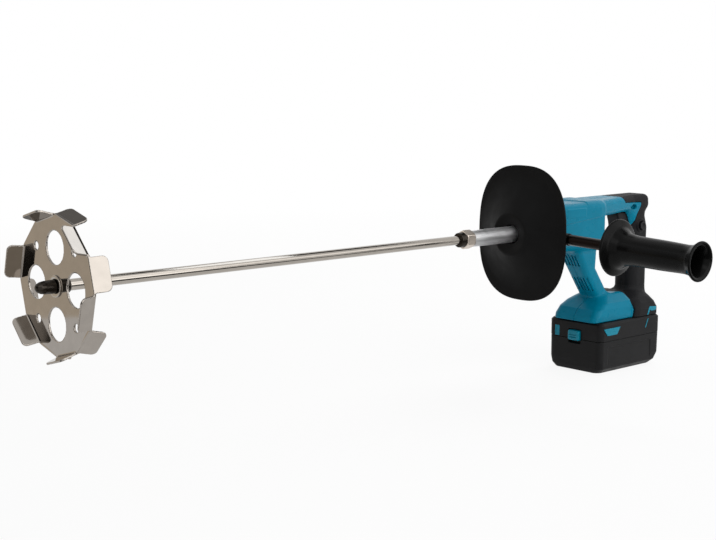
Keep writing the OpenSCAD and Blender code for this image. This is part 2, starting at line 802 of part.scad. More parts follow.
// Split band round the nose with a threaded boss for the bar
module handle_clamp() {
  color(black) difference() {
    union() {
      on_axis(-handle_reach - band_w / 2) cylinder(h = band_w, r = band_out_r, $fn = 64);
      on_handle() translate([0, 0, band_in_r + 1]) cylinder(h = bar_start - band_in_r - 1, r = clamp_neck_r);
      on_handle() translate([0, 0, case_outer_r + 1.5]) cylinder(h = 9, r = clamp_neck_r + 3);
    }
    on_axis(-handle_reach - band_w) cylinder(h = 2 * band_w, r = band_in_r, $fn = 64);
    on_handle() translate([0, 0, band_in_r + 3]) cylinder(h = 60, r = bar_d / 2 - 2 + run_gap);
  }
}

module handle_bar() {
  color(dark_steel) on_handle() {
    translate([0, 0, band_in_r + 4]) cylinder(h = bar_start - band_in_r - 2, r = bar_d / 2 - 2);
    translate([0, 0, bar_start + seat_gap]) cylinder(h = bar_end - bar_start - seat_gap, r = bar_d / 2);
  }
}

// Flange, grip and flared hollow end in one turned piece
module handle_grip() {
  color(black) on_handle() rotate_extrude($fn = 72) difference() {
    polygon([
      [bar_d / 2, flange_at - 3], [flange_r - 9, flange_at - 4], [flange_r - 1, flange_at - 1.5],
      [flange_r, flange_at], [flange_r - 0.6, flange_at + 1.6], [flange_r - 8, flange_at + 4.5],
      [side_grip_r + 4, flange_at + 8.5], [side_grip_r + 0.6, flange_at + 16], [side_grip_r, flange_at + 26],
      [side_grip_r, flange_at + 60], [side_grip_r - 0.8, side_grip_end - 14],
      [side_grip_r + 0.6, side_grip_end - 8], [flare_r - 1.6, side_grip_end - 4.4],
      [flare_r, side_grip_end - 1.8], [flare_r - 0.4, side_grip_end - 0.5], [flare_r - 1.6, side_grip_end],
      [flare_r - 4.2, side_grip_end - 0.6], [flare_r - 6, side_grip_end - 3],
      [side_grip_r - 3.6, side_grip_end - 9], [side_grip_r - 4.6, side_grip_end - hollow_depth],
      [3, side_grip_end - hollow_depth - 1], [3, bar_end], [bar_d / 2, bar_end]
    ]);
  }
}

// Output spindle with the planet carrier and its three pins
module spindle() {
  color(steel) {
    rod_x(sleeve_rear_x, carrier_x - 1, spindle_d / 2);
    rod_x(sleeve_rear_x - spindle_end_len, sleeve_rear_x + 1, spindle_end_d / 2);
    rod_x(carrier_x - carrier_t, carrier_x, bearing_d / 2 - 0.6);
    for (a = [0:120:240]) on_axis(carrier_x - 1) rotate([0, 0, a]) {
      translate([gear_centre, 0, 0]) cylinder(h = gear_w + 2.5, r = 2.5, $fn = 32);
    }
  }
}

// Planet gear, with a space between two teeth facing the sun
module planet(a) {
  color(steel) on_axis(gear_x - gear_w / 2) rotate([0, 0, a]) translate([gear_centre, 0, 0]) {
    difference() {
      linear_extrude(height = gear_w) rotate(180 / planet_teeth) {
        polygon(gear_points(planet_teeth, gear_m, 0.8, 1.15, 0.14));
      }
      translate([0, 0, -1]) cylinder(h = gear_w + 2, r = 2.5 + run_gap, $fn = 32);
    }
  }
}

module planet_a() {
  planet(0);
}

module planet_b() {
  planet(120);
}

module planet_c() {
  planet(240);
}

// Motor shaft with the pinion cut on its front end
module rotor_shaft() {
  color(steel) {
    on_axis(gear_x - gear_w / 2) linear_extrude(height = gear_w) {
      polygon(gear_points(sun_teeth, gear_m, 0.8, 1.1, 0.14));
    }
    rod_x(gear_x + gear_w / 2 - 0.5, rear_bearing_x + motor_bearing_w + 1, shaft_d / 2);
  }
}

module rotor_core() {
  color(dark_steel) on_axis(stator_x + 1) difference() {
    cylinder(h = stator_len - 2, r = rotor_d / 2, $fn = 48);
    translate([0, 0, -1]) cylinder(h = stator_len, r = shaft_d / 2, $fn = 32);
  }
}

module cooling_fan() {
  color(black) on_axis(fan_x) difference() {
    union() {
      cylinder(h = 1.6, r = barrel_bore_r - 2.5, $fn = 48);
      cylinder(h = fan_t, r = 6, $fn = 32);
      for (a = [0:30:330]) rotate([0, 0, a]) translate([5, -0.6, 0]) {
        cube([barrel_bore_r - 8.5, 1.2, fan_t - 0.5]);
      }
    }
    translate([0, 0, -1]) cylinder(h = 10, r = shaft_d / 2, $fn = 32);
  }
}

// Sleeve with a hexagon and a tapered nose
module coupling_sleeve() {
  color(steel) difference() {
    union() {
      rod_x(sleeve_hex_x - 1, sleeve_rear_x, sleeve_d / 2);
      on_axis(sleeve_nose_x) rotate([0, 0, 30]) {
        cylinder(h = sleeve_hex_len, r = sleeve_flats / sqrt(3), $fn = 6);
      }
      on_axis(sleeve_front_x) {
        cylinder(h = sleeve_nose_len + eps, r1 = rod_d / 2 + 1.6, r2 = sleeve_flats / 2 - 0.6);
      }
    }
    rod_x(sleeve_front_x - 1, sleeve_rear_x - spindle_end_len - 4, rod_d / 2);
    rod_x(sleeve_rear_x - spindle_end_len - 5, sleeve_rear_x + 1, spindle_end_d / 2);
  }
}

module mixing_rod() {
  color(steel) {
    rod_x(disc_back_x + collar_len, sleeve_rear_x - spindle_end_len - 6, rod_d / 2);
    rod_x(disc_front_x - 14, disc_back_x + collar_len + 0.5, stud_d / 2);
  }
}

// One tab, bent at the fold line: side 1 leans towards the tool
module tab(side) {
  translate([disc_apothem - disc_t / 2, 0, 0]) rotate([0, -side * (90 - tab_lean), 0]) {
    translate([0, 0, -disc_t / 2]) linear_extrude(height = disc_t) {
      translate([0, -tab_w / 2]) square([tab_len - tab_corner, tab_w]);
      translate([0, -tab_w / 2 + tab_corner]) square([tab_len, tab_w - 2 * tab_corner]);
      for (s = [-1, 1]) translate([tab_len - tab_corner, s * (tab_w / 2 - tab_corner)]) {
        circle(r = tab_corner, $fn = 24);
      }
    }
  }
}

// Stamped disc: a polygon with bent tabs on its edges, towards and away from the tool in turn
module mixing_disc() {
  color(steel) on_axis(disc_x) difference() {
    union() {
      rotate([0, 0, 180 / tab_count]) translate([0, 0, -disc_t / 2]) {
        intersection() {
          cylinder(h = disc_t, r = disc_apothem / cos(180 / tab_count), $fn = tab_count);
          cylinder(h = disc_t, r = disc_apothem / cos(180 / tab_count) - 0.8, $fn = 96);
        }
      }
      for (k = [0:tab_count - 1]) rotate([0, 0, 180 + (k + 0.5) * 360 / tab_count]) {
        tab(k % 2 == 0 ? 1 : -1);
      }
    }
    for (a = [0:90:270]) rotate([0, 0, a]) {
      translate([flow_hole_pitch, 0, -10]) cylinder(h = 20, r = flow_hole_r, $fn = 48);
      rotate([0, 0, 45]) translate([small_hole_pitch, 0, -10]) cylinder(h = 20, r = small_hole_r, $fn = 24);
    }
    translate([0, 0, -10]) cylinder(h = 20, r = stud_d / 2, $fn = 48);
  }
}

module disc_washers() {
  color(steel) for (x = [disc_front_x, disc_x + disc_t / 2]) on_axis(x) difference() {
    cylinder(h = washer_t, r = washer_d / 2);
    translate([0, 0, -1]) cylinder(h = washer_t + 2, r = stud_d / 2);
  }
}

module disc_collar() {
  color(dark_steel) on_axis(disc_back_x) difference() {
    cylinder(h = collar_len, r = cap_d / 2 + 0.6);
    translate([0, 0, -1]) cylinder(h = collar_len + 2, r = stud_d / 2);
  }
}

// Cap nut with a tapered nose
module disc_cap() {
  color(dark_steel) on_axis(disc_front_x) rotate([180, 0, 0]) difference() {
    rotate_extrude() polygon([
      [0, 0], [cap_d / 2, 0], [cap_d / 2, cap_len * 0.55], [cap_d / 2 - 0.7, cap_len * 0.7],
      [cap_d / 2 - 2, cap_len * 0.9], [cap_d / 2 - 3.4, cap_len], [0, cap_len]
    ]);
    translate([0, 0, -1]) cylinder(h = 15.2, r = stud_d / 2);
  }
}

// Trigger with a hollow for the finger
module trigger() {
  t0 = grip_front_x - trigger_reach;
  color(black) difference() {
    translate([t0, -trigger_half_w, trigger_z - trigger_h / 2]) {
      cube([switch_front_x - trigger_travel - 0.5 - t0, 2 * trigger_half_w, trigger_h]);
    }
    translate([t0 - 20, 0, trigger_z - 2]) rotate([90, 0, 0]) {
      cylinder(h = 60, r = 24, center = true, $fn = 64);
    }
  }
}

module lock_button() {
  color(black) translate([boss_x, -trigger_half_w - lock_travel - 0.6, boss_z]) rotate([90, 0, 0]) {
    cylinder(h = 7.4, r = lock_d / 2, $fn = 40);
  }
}

// Outline of the battery in plan, used by both cases
module batt_section(shrink_f, shrink_r, shrink_s, r, z) {
  section(-batt_len / 2 + shrink_f, batt_len / 2 - shrink_r, batt_w / 2 - shrink_s, r, z);
}

module battery_lower_case() {
  color(black) difference() {
    hull() {
      batt_section(2, 11, 2.2, batt_corner, 0);
      batt_section(0.6, 5.5, 0.9, batt_corner, 4);
      batt_section(0, 0.5, 0.3, batt_corner, 13);
      batt_section(0, 0, 0, batt_corner, batt_seam_z - 0.5);
    }
    translate([7 - batt_len / 2, -cell_len / 2 - 1, 2.6]) cube([batt_len - 20, cell_len + 2, batt_seam_z]);
    translate([6 - batt_len / 2, -cell_len / 2 - 1, 7]) cube([batt_len - 15, cell_len + 2, batt_seam_z]);
    translate([6 - batt_len / 2, case_wall - batt_w / 2, 14]) {
      cube([batt_len - 10, batt_w - 2 * case_wall, batt_seam_z]);
    }
    button_pocket();
  }
}

// Pocket for the release button in the front of both cases
module button_pocket() {
  translate([button_x - 5, -button_half_w - slide_gap, button_z - button_travel - slide_gap]) {
    cube([
      button_depth + 5 + slide_gap, 2 * (button_half_w + slide_gap),
      button_h + button_travel + 2 * slide_gap
    ]);
  }
  translate([button_x, -arm_half_w - slide_gap, arm_z - button_travel - slide_gap]) {
    cube([button_depth + 6, 2 * (arm_half_w + slide_gap), arm_t + button_travel + 2 * slide_gap]);
  }
}

module battery_upper_case() {
  color(black) difference() {
    hull() {
      batt_section(0, 0, 0, batt_corner, batt_seam_z);
      batt_section(0, 0, -0.2, batt_corner, batt_seam_z + 3);
      batt_section(0, 0, -0.2, batt_corner, batt_top_z - 2.5);
      batt_section(0.8, 1, 0.8, batt_corner, batt_top_z - 0.5);
    }
    translate([rail_front_x - 10, -rail_half_w - slide_gap, channel_floor_z]) {
      cube([big, 2 * (rail_half_w + slide_gap), rail_flange_z + slide_gap - channel_floor_z]);
    }
    translate([rail_front_x - 10, -rail_web_half_w - slide_gap, channel_floor_z]) {
      cube([big, 2 * (rail_web_half_w + slide_gap), 20]);
    }
    translate([8 - batt_len / 2, case_wall - batt_w / 2, batt_seam_z - 1]) {
      cube([batt_len - 14, batt_w - 2 * case_wall, channel_floor_z - batt_seam_z - 1]);
    }
    translate([hook_x - 18, -arm_half_w - 1.5, channel_floor_z - 6]) cube([30, 2 * arm_half_w + 3, 9]);
    button_pocket();
  }
}

module battery_cells() {
  color([0.16, 0.42, 0.30]) for (i = [0:cells_per_row - 1], k = [0:1]) {
    x = (i - (cells_per_row - 1) / 2) * cell_pitch - 1.5;
    translate([x, 0, 3 + cell_d / 2 + k * (cell_d + cell_gap)]) rotate([90, 0, 0]) {
      cylinder(h = cell_len, r = cell_d / 2, center = true, $fn = 40);
    }
  }
}

// Spring clips on the channel floor that grip the tool's terminals
module battery_contacts() {
  color(copper) for (y = [-12, 12]) difference() {
    translate([rail_front_x - 9.8, y - 3, channel_floor_z]) cube([7, 6, 9]);
    translate([rail_front_x - 12, y - 0.9, channel_floor_z + 2]) cube([12, 1.8, 10]);
  }
}

// Trapezoid trim pieces let into the sides of the upper case
module battery_inserts() {
  color(teal) for (s = [-1, 1]) {
    translate([0, s * (batt_w / 2 + 0.65), 0]) rotate([90, 0, 0]) {
      linear_extrude(height = 0.9, center = true) {
        polygon([
          [5 - batt_len / 2, batt_seam_z + 15.5], [36 - batt_len / 2, batt_seam_z + 15.5],
          [30 - batt_len / 2, batt_seam_z + 7], [12 - batt_len / 2, batt_seam_z + 7]
        ]);
      }
    }
  }
}

module release_button() {
  color(teal) {
    translate([button_x, -button_half_w, button_z]) cube([button_depth, 2 * button_half_w, button_h]);
    translate([button_x + button_depth - 1, -arm_half_w, arm_z]) {
      cube([hook_x + hook_len - button_x - button_depth + 1, 2 * arm_half_w, arm_t]);
    }
    translate([hook_x, -arm_half_w, arm_z]) cube([hook_len, 2 * arm_half_w, channel_floor_z - arm_z + 2]);
  }
}

housing_left();
housing_right();
grip_cover_left();
grip_cover_right();
housing_screws();
gear_case();
gear_case_screws();
motor_plate();
ring_gear();
spindle_bearing_front();
spindle_bearing_rear();
motor_stator();
motor_windings();
motor_bearing_front();
motor_bearing_rear();
bearing_spider();
switch_body();
control_board();
battery_rail();
tool_terminals();
splash_guard();
guard_ring();
handle_clamp();
handle_bar();
handle_grip();
spindle();
planet_a();
planet_b();
planet_c();
rotor_shaft();
rotor_core();
cooling_fan();
coupling_sleeve();
mixing_rod();
mixing_disc();
disc_washers();
disc_collar();
disc_cap();
trigger();
lock_button();
battery_lower_case();
battery_upper_case();
battery_cells();
battery_contacts();
battery_inserts();
release_button();
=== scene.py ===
# %% [markdown]
# # A cordless mixing drill
# A mixing drill turns a long rod with a toothed disc, to stir paint or mortar. This lesson dresses its
# solid model, which is loaded as a fixed frame. Every new piece is in the frame's own metres, so it
# sits where the solid sits, and rides on the same moving body.

# %% Load the frame
import json

import bmesh
import bpy
import numpy as np
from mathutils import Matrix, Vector


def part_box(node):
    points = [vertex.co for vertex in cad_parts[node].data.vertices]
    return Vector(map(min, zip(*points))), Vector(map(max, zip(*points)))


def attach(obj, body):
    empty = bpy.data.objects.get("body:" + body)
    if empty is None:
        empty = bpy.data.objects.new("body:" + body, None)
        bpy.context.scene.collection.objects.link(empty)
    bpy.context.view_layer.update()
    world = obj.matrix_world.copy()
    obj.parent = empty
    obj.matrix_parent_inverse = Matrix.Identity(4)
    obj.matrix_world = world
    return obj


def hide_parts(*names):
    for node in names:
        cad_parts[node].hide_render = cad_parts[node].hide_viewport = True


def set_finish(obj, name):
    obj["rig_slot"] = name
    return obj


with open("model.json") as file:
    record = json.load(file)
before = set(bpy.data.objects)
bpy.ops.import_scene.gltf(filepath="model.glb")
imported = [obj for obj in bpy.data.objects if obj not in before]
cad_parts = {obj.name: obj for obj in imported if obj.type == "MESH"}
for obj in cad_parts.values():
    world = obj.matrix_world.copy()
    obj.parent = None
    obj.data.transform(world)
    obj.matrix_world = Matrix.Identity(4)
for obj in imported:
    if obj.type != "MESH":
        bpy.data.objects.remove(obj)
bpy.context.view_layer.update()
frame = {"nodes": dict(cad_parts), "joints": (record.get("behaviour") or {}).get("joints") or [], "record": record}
MM = 0.001

# %% [markdown]
# ## From numbers to a mesh
# Two kinds of surface are used. A turned or swept piece is a grid of points, computed from two
# parameters. A moulded shell, where a dozen forms melt into each other, could be joined with booleans,
# but each joint would need its own fillet. Here a distance field is worked out on a block of grid
# points instead, and the skin is laid where the field is zero, which rounds every inner corner.

# %% Mesh from points and faces
def add_object(name, data):
    """New object in the scene."""
    item = bpy.data.objects.new(name, data)
    bpy.context.scene.collection.objects.link(item)
    return item


def make_mesh(name, points, faces, body, slot, replaces):
    """Mesh object from points in millimetres and faces as rows of point numbers. It rides on a body and
    takes the place of the solids in replaces, if there are any."""
    mesh = bpy.data.meshes.new(name)
    mesh.from_pydata((np.asarray(points, float) * MM).tolist(), [], [list(f) for f in faces])
    mesh.update()
    mesh.polygons.foreach_set("use_smooth", np.ones(len(mesh.polygons), bool))
    piece = add_object(name, mesh)
    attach(piece, body)
    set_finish(piece, slot)
    if replaces:
        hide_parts(*replaces)
    print(name, "has", len(faces), "faces")
    return piece


def grid_faces(rows, columns):
    """Quads between neighbouring points of a grid whose columns close into a ring."""
    i, j = np.meshgrid(np.arange(rows - 1), np.arange(columns), indexing="ij")
    k = (j + 1) % columns
    a, b, c, d = i * columns + j, i * columns + k, (i + 1) * columns + k, (i + 1) * columns + j
    return np.stack([a.ravel(), b.ravel(), c.ravel(), d.ravel()], axis=1)


def full_turn(count):
    """Evenly spaced angles: a = 2 pi k / count."""
    return np.arange(count) * 2 * np.pi / count


# %% Turned pieces
def smooth_profile(corners, rounding, steps=3):
    """Profile points with each inner corner replaced by a short arc.
    At a corner, the arc is the quadratic curve from the point rounding before it to the point after it."""
    corners = np.asarray(corners, float)
    out = [corners[0]]
    for before, here, after in zip(corners[:-2], corners[1:-1], corners[2:]):
        back, ahead = before - here, after - here
        reach = min(rounding, 0.45 * np.hypot(*back), 0.45 * np.hypot(*ahead))
        start = here + back / np.hypot(*back) * reach
        end = here + ahead / np.hypot(*ahead) * reach
        for t in np.linspace(0, 1, steps + 1):
            out.append((1 - t) ** 2 * start + 2 * t * (1 - t) * here + t ** 2 * end)
    out.append(corners[-1])
    return np.array(out)


def closed_ring(corners, rounding):
    """Rounded profile that comes back to its first point, for a ring with a bore."""
    ring = smooth_profile(corners, rounding)
    return np.vstack([ring, ring[:1]])


def turned(name, profile, place, body, slot, replaces, around, wave=None):
    """Surface of revolution: point(s, a) = (r(s) cos a, r(s) sin a, h(s)), moved by place.
    profile holds rows of (height, radius). Ends at radius 0 close with a fan."""
    angle = full_turn(around)
    height, radius = profile[:, :1], profile[:, 1:]
    if wave is not None:
        radius = wave(radius, angle)
    points = np.stack([radius * np.cos(angle), radius * np.sin(angle), height + 0 * angle], axis=-1)
    points, faces = points.reshape(-1, 3), grid_faces(len(profile), around)
    if np.allclose(profile[0], profile[-1]):
        last = (len(profile) - 1) * around
        points, faces = points[:last], faces % last
    piece = make_mesh(name, place(points), faces, body, slot, replaces)
    clean_mesh(piece)
    return piece


def clean_mesh(piece, gap=1e-6):
    """Merges points that lie on each other, drops faces without area and turns all faces outwards."""
    work = bmesh.new()
    work.from_mesh(piece.data)
    bmesh.ops.remove_doubles(work, verts=work.verts, dist=gap)
    bmesh.ops.dissolve_degenerate(work, edges=work.edges, dist=gap)
    bmesh.ops.recalc_face_normals(work, faces=work.faces)
    work.to_mesh(piece.data)
    work.free()


def along_spindle(x):
    """Place for a turned piece: its height runs along the spindle axis, from x towards the rear."""
    def place(points):
        return np.stack([x + points[:, 2], points[:, 0], spindle_z + points[:, 1]], axis=1)
    return place


# %% Skin of a distance field
def block_grid(low, high, step):
    """Open grids of x, y and z that cover the box with two steps to spare."""
    lines = [np.arange(a - 2 * step, b + 2.5 * step, step, dtype=np.float32) for a, b in zip(low, high)]
    return np.ix_(*lines), lines


def skin_of(field, lines):
    """Surface net. Each grid cell that the surface crosses gets one point, the mean of the places where
    the field changes sign on the cell's edges, and each crossed grid edge gets a quad of four points."""
    inside = field < 0
    count = np.zeros(np.array(field.shape) - 1, np.int8)
    for corner in np.ndindex(2, 2, 2):
        part = tuple(slice(c, n - 1 + c) for c, n in zip(corner, field.shape))
        count += inside[part]
    active = (count > 0) & (count < 8)
    cells = np.argwhere(active)
    number = np.full(active.shape, -1, np.int64)
    number[active] = np.arange(len(cells))
    total, hits = np.zeros((len(cells), 3)), np.zeros(len(cells))
    faces = []
    for axis in range(3):
        u, v = (axis + 1) % 3, (axis + 2) % 3
        unit = np.eye(3, dtype=int)
        for a, b in np.ndindex(2, 2):
            start = cells + a * unit[u] + b * unit[v]
            end = start + unit[axis]
            f0, f1 = field[tuple(start.T)], field[tuple(end.T)]
            cross = (f0 < 0) != (f1 < 0)
            t = f0[cross] / (f0[cross] - f1[cross])
            total[cross] += start[cross] + t[:, None] * unit[axis]
            hits[cross] += 1
        first = tuple(slice(0, n - 1) if k == axis else slice(1, n - 1) for k, n in enumerate(field.shape))
        second = tuple(slice(1, n) if k == axis else slice(1, n - 1) for k, n in enumerate(field.shape))
        edges = np.argwhere(inside[first] != inside[second])
        edges[:, u] += 1
        edges[:, v] += 1
        outward = inside[tuple(edges.T)]
        ring = [edges, edges - unit[u], edges - unit[u] - unit[v], edges - unit[v]]
        quads = np.stack([number[tuple(c.T)] for c in ring], axis=1)
        quads[~outward] = quads[~outward][:, ::-1]
        faces.append(quads)
    points = total / hits[:, None]
    origin = np.array([line[0] for line in lines])
    step = lines[0][1] - lines[0][0]
    return origin + points * step, np.concatenate(faces)


def slope_of(formula, points, reach=0.03):
    """Gradient of a field at points, (f(p + r) - f(p - r)) / 2r along each axis, and its length."""
    columns = []
    for axis in range(3):
        shift = np.eye(3)[axis] * reach
        ahead, back = (points + shift).T, (points - shift).T
        columns.append((formula(*ahead) - formula(*back)) / (2 * reach))
    slope = np.stack(columns, axis=1)
    return slope, np.linalg.norm(slope, axis=1, keepdims=True)


def fielded(name, formula, low, high, step, body, slot, replaces=()):
    """Piece whose skin is the zero surface of formula(x, y, z), in millimetres. The net's points are
    pulled onto the surface, p - f grad f / |grad f|^2, and shaded with the field's own normals."""
    grids, lines = block_grid(low, high, step)
    field = np.broadcast_to(formula(*grids), [len(line) for line in lines])
    points, faces = skin_of(np.ascontiguousarray(field, np.float32), lines)
    slope, length = slope_of(formula, points)
    pull = slope / np.maximum(length, 0.2) ** 2 * np.asarray(formula(*points.T))[:, None]
    points = points - np.clip(pull, -0.3 * step, 0.3 * step)
    slope, length = slope_of(formula, points)
    piece = make_mesh(name, points, faces, body, slot, replaces)
    piece.data.normals_split_custom_set_from_vertices((slope / np.maximum(length, 1e-6)).tolist())


# %% Forms for the fields
def join(a, b, blend):
    """Union with a fillet: the smaller distance, lowered where both are within blend of each other."""
    h = np.clip(0.5 + 0.5 * (b - a) / blend, 0, 1)
    return b + (a - b) * h - blend * h * (1 - h)


def cut(a, b, blend):
    """a without b, with the new edge rounded over blend."""
    return -join(-a, b, blend)


def rounded_meet(a, b, edge):
    """Intersection of two forms whose shared edge is a quarter round of radius edge."""
    a, b = a + edge, b + edge
    return np.hypot(np.maximum(a, 0), np.maximum(b, 0)) + np.minimum(np.maximum(a, b), 0) - edge


def box_form(x, y, z, low, high, corner):
    """Distance to a box with all edges rounded."""
    q = [np.abs(g - (a + b) / 2) - (b - a) / 2 + corner for g, a, b in zip((x, y, z), low, high)]
    out = np.sqrt(sum(np.maximum(g, 0) ** 2 for g in q))
    return out + np.minimum(np.maximum(np.maximum(q[0], q[1]), q[2]), 0) - corner


def column_form(x, y, z, levels, fronts, backs, halves, corners, edge=2.0):
    """Upright column whose plan is a rounded rectangle, worked out at each level and carried between."""
    front, back = np.interp(z, levels, fronts), np.interp(z, levels, backs)
    half, corner = np.interp(z, levels, halves), np.interp(z, levels, corners)
    side = rounded_meet(np.abs(x - (front + back) / 2) - (back - front) / 2, np.abs(y) - half, corner)
    return rounded_meet(side, np.maximum(levels[0] - z, z - levels[-1]), edge)


def rod_form(along, across_a, across_b, start, end, radius, edge=0.5):
    """Cylinder from start to end along one direction."""
    side = np.hypot(across_a, across_b) - radius
    return rounded_meet(side, np.maximum(start - along, along - end), edge)


def outline_form(u, v, corners):
    """Distance to a closed outline in the plane, negative inside it."""
    corners = np.asarray(corners, float)
    best, inside = 1e9, False
    for (ax, ay), (bx, by) in zip(corners, np.roll(corners, -1, axis=0)):
        ex, ey = bx - ax, by - ay
        t = np.clip(((u - ax) * ex + (v - ay) * ey) / (ex * ex + ey * ey), 0, 1)
        best = np.minimum(best, np.hypot(u - ax - t * ex, v - ay - t * ey))
        if ey:
            crosses = ((ay > v) != (by > v)) & (u < ax + (v - ay) * ex / ey)
            inside = inside ^ crosses
    return np.where(inside, -best, best)


# %% Sizes that come from the frame
def box_mm(node):
    """Lowest and highest corner of a solid, in millimetres."""
    low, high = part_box(node)
    return np.array(low) / MM, np.array(high) / MM


joint_of = {j["name"]: j for j in frame["joints"]}
spindle_z = joint_of["spindle_spin"]["pos_m"][2] / MM
handle_x = joint_of["handle_swing"]["pos_m"][0] / MM
batt_low, batt_high = box_mm("battery_upper_case")
lower_low, lower_high = box_mm("battery_lower_case")
shell_low = box_mm("housing_left")[0]
cover_high = box_mm("grip_cover_left")[1]
trigger_low, trigger_high = box_mm("trigger")
disc_low, disc_high = box_mm("mixing_disc")
disc_x = (disc_low[0] + disc_high[0]) / 2
print("spindle axis at", round(spindle_z, 1), "mm, disc at", round(disc_x, 1), "mm")

# %% [markdown]
# ## The motor housing, its leg and the foot
# The real housing is two nylon shells that meet in the middle, with soft black rubber moulded over the
# grip. They could be boxes with a bevel, but then the leg would meet the body in a hard line. The forms
# below are blended in the field, and each shell keeps its own part of the blend.

# %% Levels and places of the housing
barrel_front, barrel_rear = shell_low[0], -42.0
barrel_half, barrel_low, top = 31.0, 146.0, 203.0
ledge_z, ledge_climb, ledge_out = 179.0, 0.085, 0.9
grip_top = cover_high[2] - 0.1
bar_low, bar_half, bar_corner = 186.0, 28.0, 7
grip_front, grip_rear, grip_half = 30.0, cover_high[0] - 0.6, 15.5
foot_low, foot_shoulder, foot_crown = shell_low[2], 81.0, 91.0
foot_front, foot_split, foot_half = -61.0, 16.0, 33.0
leg_bend_x, leg_bend_z, leg_foot_x, leg_depth, leg_half = -61.0, 122.0, -30.0, 25.0, 15.0
boss_x, boss_z = 45.0, 167.0
print("the barrel is", round(barrel_rear - barrel_front, 1), "mm long, the grip", 2 * grip_half, "mm wide")


# %% Whole outer form
def barrel_form(x, y, z):
    """Long box with wide rounding below and less above, closed by a rounded rear end.
    The side steps out by ledge_out above a line that climbs to the rear."""
    middle = (barrel_low + top) / 2
    corner = np.where(z > middle, 9.0, 19.0)
    line = ledge_z + (x - barrel_front) * ledge_climb
    ledge = ledge_out * np.clip((z - line) / 1.2, 0, 1) * np.clip((barrel_rear - 5 - x) / 6, 0, 1)
    upright = np.abs(z - middle) - (top - barrel_low) / 2
    side = rounded_meet(np.abs(y) - barrel_half - ledge, upright, corner)
    closed = rounded_meet(side, x - barrel_rear, 5.0)
    return rounded_meet(closed, barrel_front - x, 1.2)


def bar_form(x, y, z):
    """Top bar: a rounded box that narrows from the motor housing to the grip."""
    share = np.clip((x - barrel_rear) / (grip_front - barrel_rear), 0, 1)
    half = bar_half + (grip_half + 1 - bar_half) * share
    low, high = bar_low - 2 + 2 * share, top + (grip_top - top) * share
    side = rounded_meet(np.abs(y) - half, np.abs(z - (low + high) / 2) - (high - low) / 2, bar_corner)
    closed = rounded_meet(side, x - grip_rear + 1, 9.0)
    return np.maximum(closed, barrel_rear - 30 - x)


def leg_form(x, y, z):
    """Leg that leans forward up to a bend, and further above it."""
    return column_form(
        x, y, z, [foot_shoulder + 1, leg_bend_z, barrel_low + 12],
        [leg_foot_x - 2, leg_bend_x, leg_bend_x - 24],
        [leg_foot_x + leg_depth - 2, leg_bend_x + leg_depth, -38],
        [leg_half, leg_half, leg_half + 4], [8, 8, 9])


def grip_form(x, y, z):
    """Grip that comes forward under the top bar."""
    return column_form(
        x, y, z, [foot_crown - 8, 150, 164, 178, bar_low + 8],
        [grip_front, grip_front, grip_front, grip_front - 6, grip_front - 16],
        [grip_rear, grip_rear, grip_rear + 0.5, grip_rear - 4, grip_rear - 3],
        [grip_half] * 5, [12] * 5)


def foot_form(x, y, z):
    """Foot over the battery, from a front and a wider rear column."""
    front = column_form(
        x, y, z, [foot_low, foot_low + 6, foot_shoulder - 7, foot_shoulder - 0.5, foot_crown - 1],
        [foot_front, foot_front + 1.5, foot_front + 8, foot_front + 18, foot_front + 33],
        [foot_split] * 5, [foot_half, foot_half, foot_half - 1, foot_half - 3.5, foot_half - 15],
        [10, 10, 10, 11, 10], 1.2)
    rear = column_form(
        x, y, z, [foot_low, foot_shoulder - 12, foot_shoulder - 5, foot_shoulder + 1, foot_crown - 4],
        [foot_split - 8, foot_split - 6, foot_split - 3, foot_split - 2, foot_split + 8],
        [58, 58, 57, 54.5, 57], [38, 38, 35, 29.5, grip_half + 3], [10, 10, 12, 13, 13], 1.2)
    return join(front, rear, 2.0)


def outer_form(x, y, z):
    """All forms blended, with a raised panel on each side of the barrel."""
    body = join(barrel_form(x, y, z), bar_form(x, y, z), 5.0)
    body = join(body, leg_form(x, y, z), 7.0)
    grip = join(grip_form(x, y, z), foot_form(x, y, z), 7.0)
    body = join(body, grip, 6.0)
    panel_low, panel_high = (barrel_front + 9, 20, 187), (barrel_front + 43, 32.2, 197.5)
    return join(body, box_form(x, np.abs(y), z, panel_low, panel_high, 1.2), 0.8)


# %% What is taken out of the shells
screw_places = [
    (grip_front - 2, bar_low + 5, -1), (barrel_rear + 14, top - 7, 1),
    (barrel_front + 16.6, barrel_low + 4, 1), (leg_bend_x + 9, leg_bend_z + 13, 1),
    (46.0, foot_crown + 15, 1), (foot_split + 8, foot_low + 12, 1), (foot_front + 17, foot_low + 7, 1)]
screw_floor, screw_bore, far_out = 6.9, 3.3, 60
vent_groups = ((133.0, 6.5, 5), (103.0, 8.0, 6))
vent_pitch, vent_half, vent_deep = 4.4, 1.0, 3.0
motor_bore, lock_bore, play, rail_half = 23.6, 5.4, 0.4, 28
oval_half, oval_r, oval_floor = 2.6, 2.7, 12.5
print(len(screw_places), "screws, and vents of", [count for z, half, count in vent_groups], "slots")


def vent_form(x, y, z):
    """Two groups of upright slots in the leg's front face."""
    front = np.interp(z, [foot_shoulder, leg_bend_z, barrel_low + 10],
                      [leg_foot_x - 2, leg_bend_x, leg_bend_x - 23])
    out = 1e3
    for level, half_height, count in vent_groups:
        for k in range(count):
            side = (k - (count - 1) / 2) * vent_pitch
            slot = np.maximum(np.abs(y - side) - vent_half, np.abs(z - level) - half_height)
            out = np.minimum(out, np.maximum(slot, np.abs(x - front) - vent_deep))
    return out


def lock_hole(x, y, z):
    """Bore for the lock button."""
    return rod_form(-y, x - boss_x, z - boss_z, 2, far_out, lock_bore)


